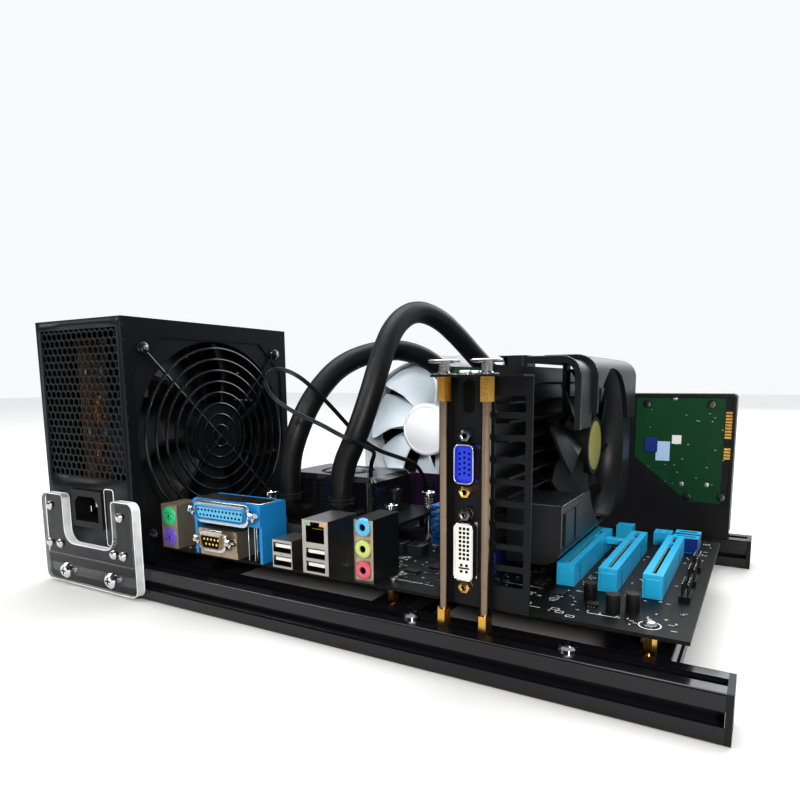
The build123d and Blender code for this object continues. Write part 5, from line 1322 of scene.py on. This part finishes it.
@dataclass
class GraphicsCard(Assembly):
    """Card on its two rods: bracket ports, fins, shroud and fan."""

    FINISHES: ClassVar[dict[str, Finish]] = {
        "card_vga": ROYAL_BLUE, "card_dvi": IVORY, "card_board": BOARD_GREEN, "card_bracket": POWDER_BLACK,
        "card_heatsink": DARK_FINS, "rod_hexes": BRASS, "card_rods": WARM_ROD, "card_shroud": SHROUD_GREY,
        "card_fan_rotor": MOULDED_BLACK}
    seed: int = 11
    chips: int = 110
    port_x: float = 97.12
    vga_up: float = 64.5
    dvi_up: float = 25.0
    vga_pitch: float = 25.0
    dvi_pitch: float = 33.3
    oblong_up: float = 94.0
    rod: float = 2.1
    depth: float = 27.0
    height: float = 98.0
    bend: float = 9.0
    hood: float = 35.0
    bore: float = 45.0
    box: float = 29.0
    box_length: float = 40.0
    hood_starts: tuple[tuple[float, float], ...] = ((24.0, 1.0), (52.0, 2.5))

    def ports(self) -> None:
        """Blue port and white port with their contact holes, metal shells and brass jack nuts."""
        face = span("card_vga")[0][1]
        board = span("motherboard")[1][2]
        blue, white = (np.array([self.port_x, face, board + up]) for up in (self.vga_up, self.dvi_up))
        for name, middle, tall in (("blue_port", blue, 17.0), ("white_port", white, 26.0)):
            shell = loop(rounded(9.1, tall + 0.1, 2.4, 6), rounded(4.8, 0.6, 0.25, 3)[:, ::-1])
            shell = shell.face(Way.FRONT).moved(middle + [0, 2.2, 0])
            piece(name + "_shell", shell, PLATED, sharp=50)
        # Dark contact holes in both ports: painted shade.
        inside = np.array([0, 0.98, 0])
        holes = [(-2.3 + 2.3 * c, 0, -4.6 + 2.3 * r + (0.6 if c == 1 else 0))
                 for c in range(3) for r in range(5)]
        piece("blue_port_holes", discs(holes + blue + inside, 0.62, 0.3, 8), HOLE_SHADE)
        hole = block((-0.62, -0.06, -0.62), (0.62, 0.2, 0.62), 0.03)
        holes = [(-1.9 + 1.9 * c, 0, -3.2 + 1.95 * r) for c in range(3) for r in range(8)]
        holes += [(s * 1.3, 0, z) for z in (-6.3, -9.2) for s in BOTH]
        dark = join([repeat(hole, holes), block((-2.6, -0.06, -8.0), (2.6, 0.2, -7.3), 0.03)])
        piece("white_port_holes", dark.moved(white + inside), HOLE_SHADE)
        nut = turned([(1.3, -2.0), (1.3, 0.3), (1.7, 0.5), (2.75, 0.1), (2.8, -0.3), (2.8, -3.6)], 6)
        for name, side, finish in (("lower_jack_nuts", -1, BRASS), ("upper_jack_nuts", 1, DARK_TIN)):
            ends = [middle + [0, 1.0, side * pitch / 2]
                    for middle, pitch in ((blue, self.vga_pitch), (white, self.dvi_pitch))]
            piece(name, repeat(nut.face(Way.FRONT), ends), finish, sharp=25)
        # Near-black cup behind the bracket's oblong opening: painted shade in the opening.
        cup = layered(rounded(5.8, 14.8, 2.85, 8), [(-6.0, 0), (-0.3, 0)]).face(Way.FRONT)
        place = (self.port_x, span("card_bracket")[1][1], board + self.oblong_up)
        piece("oblong_painted_shade", cup.moved(place), HOLE_SHADE)

    def board(self) -> None:
        """Small parts on both faces of the board, the pads on the rods, cans, coils and gilt contacts."""
        low, high = span("card_board")
        random = np.random.default_rng(self.seed)
        for name, side, face in (("card_chips_right", 1, high[0]), ("card_chips_left", -1, low[0])):
            y = random.uniform(low[1] + 8, high[1] - 8, self.chips)
            z = random.uniform(low[2] + 30, high[2] - 3, self.chips)
            chip = block((min(0.0, 0.6 * side), -0.9, -0.45), (max(0.0, 0.6 * side), 0.9, 0.45), 0.06)
            spots = np.stack([np.full(self.chips, face), y, z], axis=-1)
            piece(name, repeat(chip, spots), TIN)
        tab = span("card_bracket")[1][2]
        rod_low, rod_high = span("card_rods")
        neck = turned([(5.4, 0), (5.4, 0.5), (5.0, 0.7), (2.4, 0.7), (2.4, 5.0), (3.2, 5.4)], 24)
        pad = block((-6.2, -4.2, 5.2), (6.2, 4.2, 6.6), 0.35, 1.2)
        tops = [(x, (rod_low[1] + rod_high[1]) / 2, tab)
                for x in (rod_low[0] + self.rod, rod_high[0] - self.rod)]
        piece("tab_pads", repeat(join([neck, pad]), tops), PLATED)
        can = turned([(0, 0), (2.6, 0), (2.6, 4.6), (2.2, 5.2), (0, 5.2)], 18).face(Way.RIGHT)
        spots = [(high[0], low[1] + 6 + 9.5 * k, high[2] - 4) for k in range(3)]
        piece("card_cans", repeat(can, spots), ALUMINIUM)
        coil = block((0, -3.4, -3.4), (5.0, 3.4, 3.4), 0.6, 1.2)
        spots = [(high[0], high[1] - 8 - 9 * k, high[2] - 6) for k in range(3)]
        piece("card_coils", repeat(coil, spots), FERRITE)
        contact = block((0, 18, 8.0), (0.06, 18.6, 11.0), 0.01)
        slot = span("long_slot")[0][1]
        spots = [(x, slot + k, low[2]) for k in range(60) for x in (low[0] - 0.05, high[0])]
        piece("card_contacts", repeat(contact, spots), GOLD)

    def edge(self, low: Array, grow: float, place: float) -> Array:
        """Outer line of the hood's section: along the top, round the corner and down to where its wall ends.

        Args:
            low: Lowest corner of the shroud.
            grow: How far the line stands outside the plain section.
            place: Where along the shroud the section lies.

        Returns:
            Points across the shroud, as rows of x and z.
        """
        fan = sum(span("card_fan_rotor")) / 2
        chord = math.sqrt(max(self.bore ** 2 - (fan[1] - place) ** 2, 0.0))
        wall, top, turn = low[0] + self.depth, low[2] + self.height, self.bend + grow
        quarter = np.linspace(0, math.pi / 2, 9)
        arc = np.stack([wall - self.bend + turn * np.sin(quarter),
                        top - self.bend + turn * np.cos(quarter)], axis=-1)
        end = max(top - self.hood, fan[2] + chord) + 0.3
        return np.concatenate([[[low[0] + 0.5, top + grow]], arc, [[wall + grow, end]]])

    def shroud(self) -> None:
        """Rounded edges on the hood's two frames and on the lower box, drawn lighter than the shroud as a
        painted highlight, the fan's duct and a bare disc.
        """
        low = span("card_shroud")[0]
        beads = []
        for start, grow in self.hood_starts:
            line = self.edge(low, grow, low[1] + start)
            path = np.stack([line[:, 0], np.full(len(line), low[1] + start + 0.1), line[:, 1]], axis=-1)
            beads.append(swept(path, circle(0.45, 8), guide=(0, 1, 0)))
        piece("hood_edges", join(beads), SHROUD_EDGE_HIGHLIGHT, sharp=60)
        left, front, wall, top = low[0], low[1], low[0] + self.depth, low[2] + self.box
        runs = (((left + 0.5, front, top), (wall - 0.6, front, top), (0, 1, 0)),
                ((wall, front + 0.5, top), (wall, front + self.box_length - 0.5, top), (1, 0, 0)),
                ((wall, front, top - 0.6), (wall, front, low[2] + self.bend), (0, 1, 0)))
        lines = [swept(np.linspace(a, b, 6), circle(0.4, 8), guide=g) for a, b, g in runs]
        piece("box_edges", join(lines), SHROUD_EDGE_HIGHLIGHT, sharp=60)
        fan_low, fan_high = span("card_fan_rotor")
        _, y, z = (fan_low + fan_high) / 2
        around = np.radians(np.linspace(-80, 80, 33))
        sides = np.array([[left + 1.0], [wall - 0.3]])
        arc = np.broadcast_arrays(sides, self.bore * np.cos(around), self.bore * np.sin(around))
        duct = grid(np.stack(arc, axis=-1)).moved((0, y, z))
        thick(piece("fan_duct", duct, MOULDED_BLACK, sharp=60), 1.0)
        disc = layered(circle(14.5, 40), [(-0.05, 0), (0.15, 0), (0.25, 0.3)]).face(Way.RIGHT)
        disc = disc.moved((fan_high[0], y, z))
        piece("card_fan_disc", disc, STRIP_GREEN, "card_fan_rotor")

    def build(self) -> None:
        """Makes the details of the ports, the board and the shroud."""
        self.ports()
        self.board()
        self.shroud()


@dataclass
class Drive(Assembly):
    """Drive on its long side: dark casting, green board and bare labels."""

    FINISHES: ClassVar[dict[str, Finish]] = {"drive_case": CASTING, "drive_board": BOARD_GREEN}
    seed: int = 5
    parts: int = 26
    pad_pitch: float = 2.15
    pad_rows: tuple[tuple[float, int], ...] = ((107.8, 9), (82.6, 4))
    pads: tuple[tuple[float, float], ...] = ((30.3, 56.7), (13.8, 57.3), (37.3, 118.6))
    ribs: tuple[float, ...] = (12, 20, 28, 72, 80, 88)

    def board(self) -> None:
        """Edge strip, contacts, a chip, small parts, pads, labels and screws on the board."""
        low, (right, _, top) = span("drive_board")
        face, bottom, case = low[1], low[2], span("drive_case")[1][0]
        strip = block((right - 4.4, face - 0.25, bottom + 0.3), (right + 0.02, face + 0.2, top - 0.3), 0.1)
        piece("drive_edge_strip", strip, CASTING)
        contact = block((right - 4.0, face - 0.75, 0), (case - 0.6, face + 0.1, 1.6), 0.05)
        rows = [(0, 0, first - self.pad_pitch * k) for first, count in self.pad_rows for k in range(count)]
        piece("drive_contacts", repeat(contact, rows), BRASS)
        chip = block((right - 56.5, face - 0.9, 79.2), (right - 47.6, face + 0.1, 89.8), 0.2)
        piece("drive_chip", chip, DARK_BLUE)
        random = np.random.default_rng(self.seed)
        spots = np.stack([random.uniform(right - 56, right - 4, self.parts), np.full(self.parts, face),
                          random.uniform(top - 62, top - 5, self.parts)], axis=-1)
        part = block((-0.6, -0.4, -0.3), (0.6, 0.05, 0.3), 0.06)
        piece("drive_small_parts", repeat(part, spots), TIN)
        pad = layered(circle(1.7, 20), [(-0.05, 0), (0.1, 0), (0.15, 0.15)]).face(Way.FRONT)
        piece("drive_pads", repeat(pad, [(right - x, face, z) for x, z in self.pads]), TIN)
        label = block((right - 38.0, face - 0.35, 85.7), (right - 31.7, face + 0.05, 92.0), 0.08)
        piece("bare_white_label", label, LABEL_WHITE)
        tag = block((right - 48.7, face - 0.35, 73.0), (right - 39.1, face + 0.05, 87.2), 0.05)
        piece("bare_blue_label", tag, LABEL_BLUE)
        screw = turned([(0, 0.9), (1.1, 0.9), (1.3, 1.2), (2.6, 1.0), (3.0, 0.4), (3.0, -0.4)], 20)
        ends = [(right - 13.2, face, top - 4.5), (right - 56.0, face, top - 4.5),
                (right - 4, face, bottom + 5), (right - 26, face, bottom + 4)]
        piece("drive_screws", repeat(screw.face(Way.FRONT), ends), DARK_TIN)

    def casing(self) -> None:
        """Round spindle relief and ribs on the casting."""
        low, high = span("drive_case")
        hub = turned([(0, 0.3), (9, 0.3), (10, 0.0), (16, 0.0), (17, 0.5), (19, 0.5), (20, 0)], 48)
        place = (high[0] - 105, low[1] + 1.45, (low[2] + high[2]) / 2)
        piece("drive_spindle", hub.face(Way.FRONT).moved(place), CASTING)
        rib = block((6, -0.3, 0), (26, 0.1, 2), 0.2).moved(low)
        piece("drive_ribs", repeat(rib, [(0, 0, z) for z in self.ribs]), CASTING)

    def build(self) -> None:
        """Makes the details of the board and the casting."""
        self.board()
        self.casing()


@dataclass
class Tubing(Assembly):
    """The two coolant hoses and the twin pump lead, each on its own smooth route."""

    FINISHES: ClassVar[dict[str, Finish]] = {"lead_plug": MOULDED_BLACK}
    hose_d: float = 14.0
    strand_d: float = 1.35
    lead_d: float = 2.6
    lead_lean: tuple[float, float, float] = (1.0, -1.0, 0.15)
    hose_a: tuple[tuple[float, float, float], ...] = (
        (-10.5, -65.65, 62.1), (-10.5, -65.65, 78), (-1, -64, 97), (4, -55, 122), (5, -43, 147),
        (4, -26, 167), (6, -3, 178), (12.5, 18, 174), (19, 36, 162), (25, 51, 149), (31, 65, 138),
        (34, 80, 130.5), (34, 98.85, 130.5))
    hose_b: tuple[tuple[float, float, float], ...] = (
        (-51.5, -65.65, 62.1), (-51.5, -65.65, 80), (-46, -64, 99), (-42, -51, 123), (-35, -27, 145),
        (-18, 8, 155), (0, 32, 147), (9.5, 52, 126), (14, 60.5, 107), (22.5, 65, 93), (31, 73, 84.5),
        (34, 84.5, 81), (34, 98.85, 81))
    lead: tuple[tuple[float, float, float], ...] = (
        (-1, -48, 72.6), (-1, -48, 80), (4, -51, 87), (9, -60, 91), (8, -71, 95), (-1, -79, 101),
        (-14, -80, 107), (-27, -81, 111.5), (-40, -81.5, 117), (-50, -82, 123.5), (-54.5, -81.5, 131),
        (-52, -80, 138), (-44.5, -77, 139.5), (-36, -72, 135), (-30, -65, 127), (-26, -55, 117),
        (-22, -45, 106), (-16, -37, 95), (-8, -29, 87), (0, -18, 82), (6, -6, 77), (8, 3, 68),
        (8, 8, 56), (8, 8, 44))

    @staticmethod
    def route(name: str, points: tuple[tuple[float, float, float], ...]) -> bpy.types.Object:
        """Smooth curve that takes the route's points as its control points.

        Args:
            name: Name of the curve.
            points: Control points in millimetres.

        Returns:
            The curve object, with no thickness yet.
        """
        curve = bpy.data.curves.new(name, "CURVE")
        curve.dimensions = "3D"
        curve.resolution_u = 10
        line = curve.splines.new("NURBS")
        line.points.add(len(points) - 1)
        line.points.foreach_set("co", np.c_[np.array(points, float) * MM, np.ones(len(points))].ravel())
        line.order_u = 3
        line.use_endpoint_u = True
        return linked(name, curve)

    @staticmethod
    def sampled(thing: bpy.types.Object) -> Array:
        """Points of a curve's own line, in millimetres.

        Args:
            thing: Curve object with no thickness.

        Returns:
            Points in order along the line.
        """
        bpy.context.view_layer.update()
        mesh = bpy.data.meshes.new_from_object(thing.evaluated_get(bpy.context.evaluated_depsgraph_get()))
        spots = np.zeros(len(mesh.vertices) * 3)
        mesh.vertices.foreach_get("co", spots)
        bpy.data.meshes.remove(mesh)
        return spots.reshape(-1, 3) / MM

    @staticmethod
    def length(path: Array) -> float:
        """Length of a sampled line, in metres: the sum of the steps between its points."""
        return float(np.linalg.norm(np.diff(path, axis=0), axis=1).sum()) * MM

    def build(self) -> None:
        """Makes the hoses and the lead, and gives each its finish."""
        for node, points in (("hose_a", self.hose_a), ("hose_b", self.hose_b)):
            hose = self.route(node + "_tube", points)
            size = self.length(self.sampled(hose))
            hose.data.bevel_depth = self.hose_d / 2 * MM
            hose.data.bevel_resolution = 8
            declare(hose, HOSE_RUBBER)
            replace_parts(hose, node)
            LOG.info("%s: %.3f m", hose.name, size)
        line = self.route("lead_line", self.lead)
        path = self.sampled(line)
        bpy.data.objects.remove(line)
        side = (self.lead_d - self.strand_d) / 2
        strand = circle(self.strand_d / 2, 10)
        strands = [swept(path, strand + [s * side, 0], guide=self.lead_lean) for s in BOTH]
        lead = piece("pump_lead_strands", join(strands), LEAD_SKIN)
        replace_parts(lead, "pump_lead")


@dataclass
class Studio:
    """Floor, soft light and the camera at the photograph's viewing angle."""

    eye: tuple[float, float, float] = (211.09, -364.69, 130.94)
    azimuth: float = 29.405
    elevation: float = 7.823
    roll: float = -0.312
    focal_px: float = 617.755
    middle_px: tuple[float, float] = (417.759, 466.802)
    frame_px: float = 800.0
    sensor: float = 36.0
    reach: float = 6000.0
    gamma: float = 0.85
    sun_power: float = 2.4
    sun_angle: float = 50.0
    sun_tilt: tuple[float, float, float] = (-8.0, -6.0, 0.0)

    def camera(self) -> None:
        """Sets the camera from its place, three angles, focal length and optical middle."""
        az, el, roll = (math.radians(v) for v in (self.azimuth, self.elevation, self.roll))
        back = Vector((math.sin(az) * math.cos(el), -math.cos(az) * math.cos(el), math.sin(el)))
        right = Vector((math.cos(az), math.sin(az), 0.0))
        turn = Matrix((right, back.cross(right), back)).transposed() @ Matrix.Rotation(roll, 3, "Z")
        lens = bpy.data.cameras.new("photo_camera")
        lens.sensor_width = self.sensor
        lens.lens = self.focal_px / self.frame_px * self.sensor
        lens.shift_x = (self.frame_px / 2 - self.middle_px[0]) / self.frame_px
        lens.shift_y = (self.middle_px[1] - self.frame_px / 2) / self.frame_px
        lens.clip_start = 0.01
        thing = linked("photo_camera", lens)
        thing.matrix_world = Matrix.Translation(Vector(self.eye) * MM) @ turn.to_4x4()
        bpy.context.scene.camera = thing

    @staticmethod
    def lamp(name: str, place: Point, aim: Point, size: float, power: float, color: Point = (1.0, 1.0, 1.0),
             spread: float = 180.0) -> None:
        """Soft square lamp pointed at a spot.

        Args:
            name: Name of the lamp.
            place: Where it stands, in metres.
            aim: What it points at, in metres.
            size: Side of the square, in metres.
            power: Power in watts.
            color: Light colour.
            spread: Angle of the beam, in degrees.
        """
        light = bpy.data.lights.new(name, "AREA")
        light.spread = math.radians(spread)
        light.size = size
        light.energy = power
        light.color = color
        thing = linked(name, light)
        thing.location = place
        thing.rotation_euler = (Vector(aim) - Vector(place)).to_track_quat("-Z", "Y").to_euler()

    def sun(self) -> None:
        """Wide soft light from above that lights the whole floor evenly."""
        light = bpy.data.lights.new("ceiling", "SUN")
        light.energy = self.sun_power
        light.angle = math.radians(self.sun_angle)
        linked("ceiling", light).rotation_euler = np.radians(self.sun_tilt)

    @staticmethod
    def sky() -> None:
        """White room as the camera sees it, and a softer light that grows to the back and the top."""
        world = bpy.data.worlds.new("pale_room")
        world.use_nodes = True
        tree = world.node_tree
        seen = tree.nodes["Background"]
        feed(tree, seen, {"Color": (0.98, 0.99, 1.0, 1.0), "Strength": 0.97})
        toward = add(tree, "VectorMath", {0: add(tree, "TexCoord", {})["Generated"], 1: (0.0, 0.8, 0.6)},
                     operation="DOT_PRODUCT")["Value"]
        fade = add(tree, "MapRange", {"Value": toward, "From Min": -0.5, "To Min": 0.05,
                                      "To Max": 0.75})["Result"]
        lit = add(tree, "Background", {"Color": (0.90, 0.94, 1.0, 1.0), "Strength": fade})["Background"]
        direct = add(tree, "LightPath", {})["Is Camera Ray"]
        mix = add(tree, "MixShader", {"Fac": direct, 1: lit, 2: seen.outputs["Background"]})["Shader"]
        feed(tree, tree.nodes["World Output"], {"Surface": mix})
        bpy.context.scene.world = world

    def floor(self) -> None:
        """Wide flat floor."""
        far = self.reach
        ground = grid(np.array([[[-far, -far, 0], [far, -far, 0]], [[-far, far, 0], [far, far, 0]]]))
        mesh = bpy.data.meshes.new("floor")
        mesh.from_pydata((ground.points * MM).tolist(), [], ground.quads.tolist())
        mesh.materials.append(PALE_FLOOR.material())
        floor = linked("floor", mesh)

    def build(self) -> None:
        """Makes the floor, the sky and the lamps, and sets the camera."""
        self.floor()
        self.sky()
        bpy.context.scene.view_settings.view_transform = "Standard"
        bpy.context.scene.view_settings.gamma = self.gamma
        self.lamp("window_left", (-1.4, -1.2, 1.3), (0, 0, 0.06), 0.6, 15)
        self.lamp("window_back", (0.5, 1.9, 1.5), (0, 0, 0.08), 1.6, 26)
        self.lamp("fan_light", (-0.12, -0.50, 0.55), (-0.035, 0.09, 0.09), 0.1, 0.045, (0.93, 0.97, 1.0),
                  24.0)
        self.sun()
        self.lamp("front_fill", (0.9, -1.5, 0.8), (0.05, -0.05, 0.08), 0.35, 24, (1.0, 0.97, 0.92))
        self.camera()


def main() -> None:
    """Dresses and builds every sub-assembly in order, then the stage."""
    logging.basicConfig(level=logging.INFO, format="%(name)s %(message)s")
    for kind in (Tubing, RailFrame, ClearPlate, PowerSupply, MainBoard, LiquidCooler, GraphicsCard, Drive):
        assembly = kind()
        assembly.dress()
        assembly.build()
        LOG.info("%s done", kind.__name__)
    Studio().build()


if __name__ == "__main__":
    main()
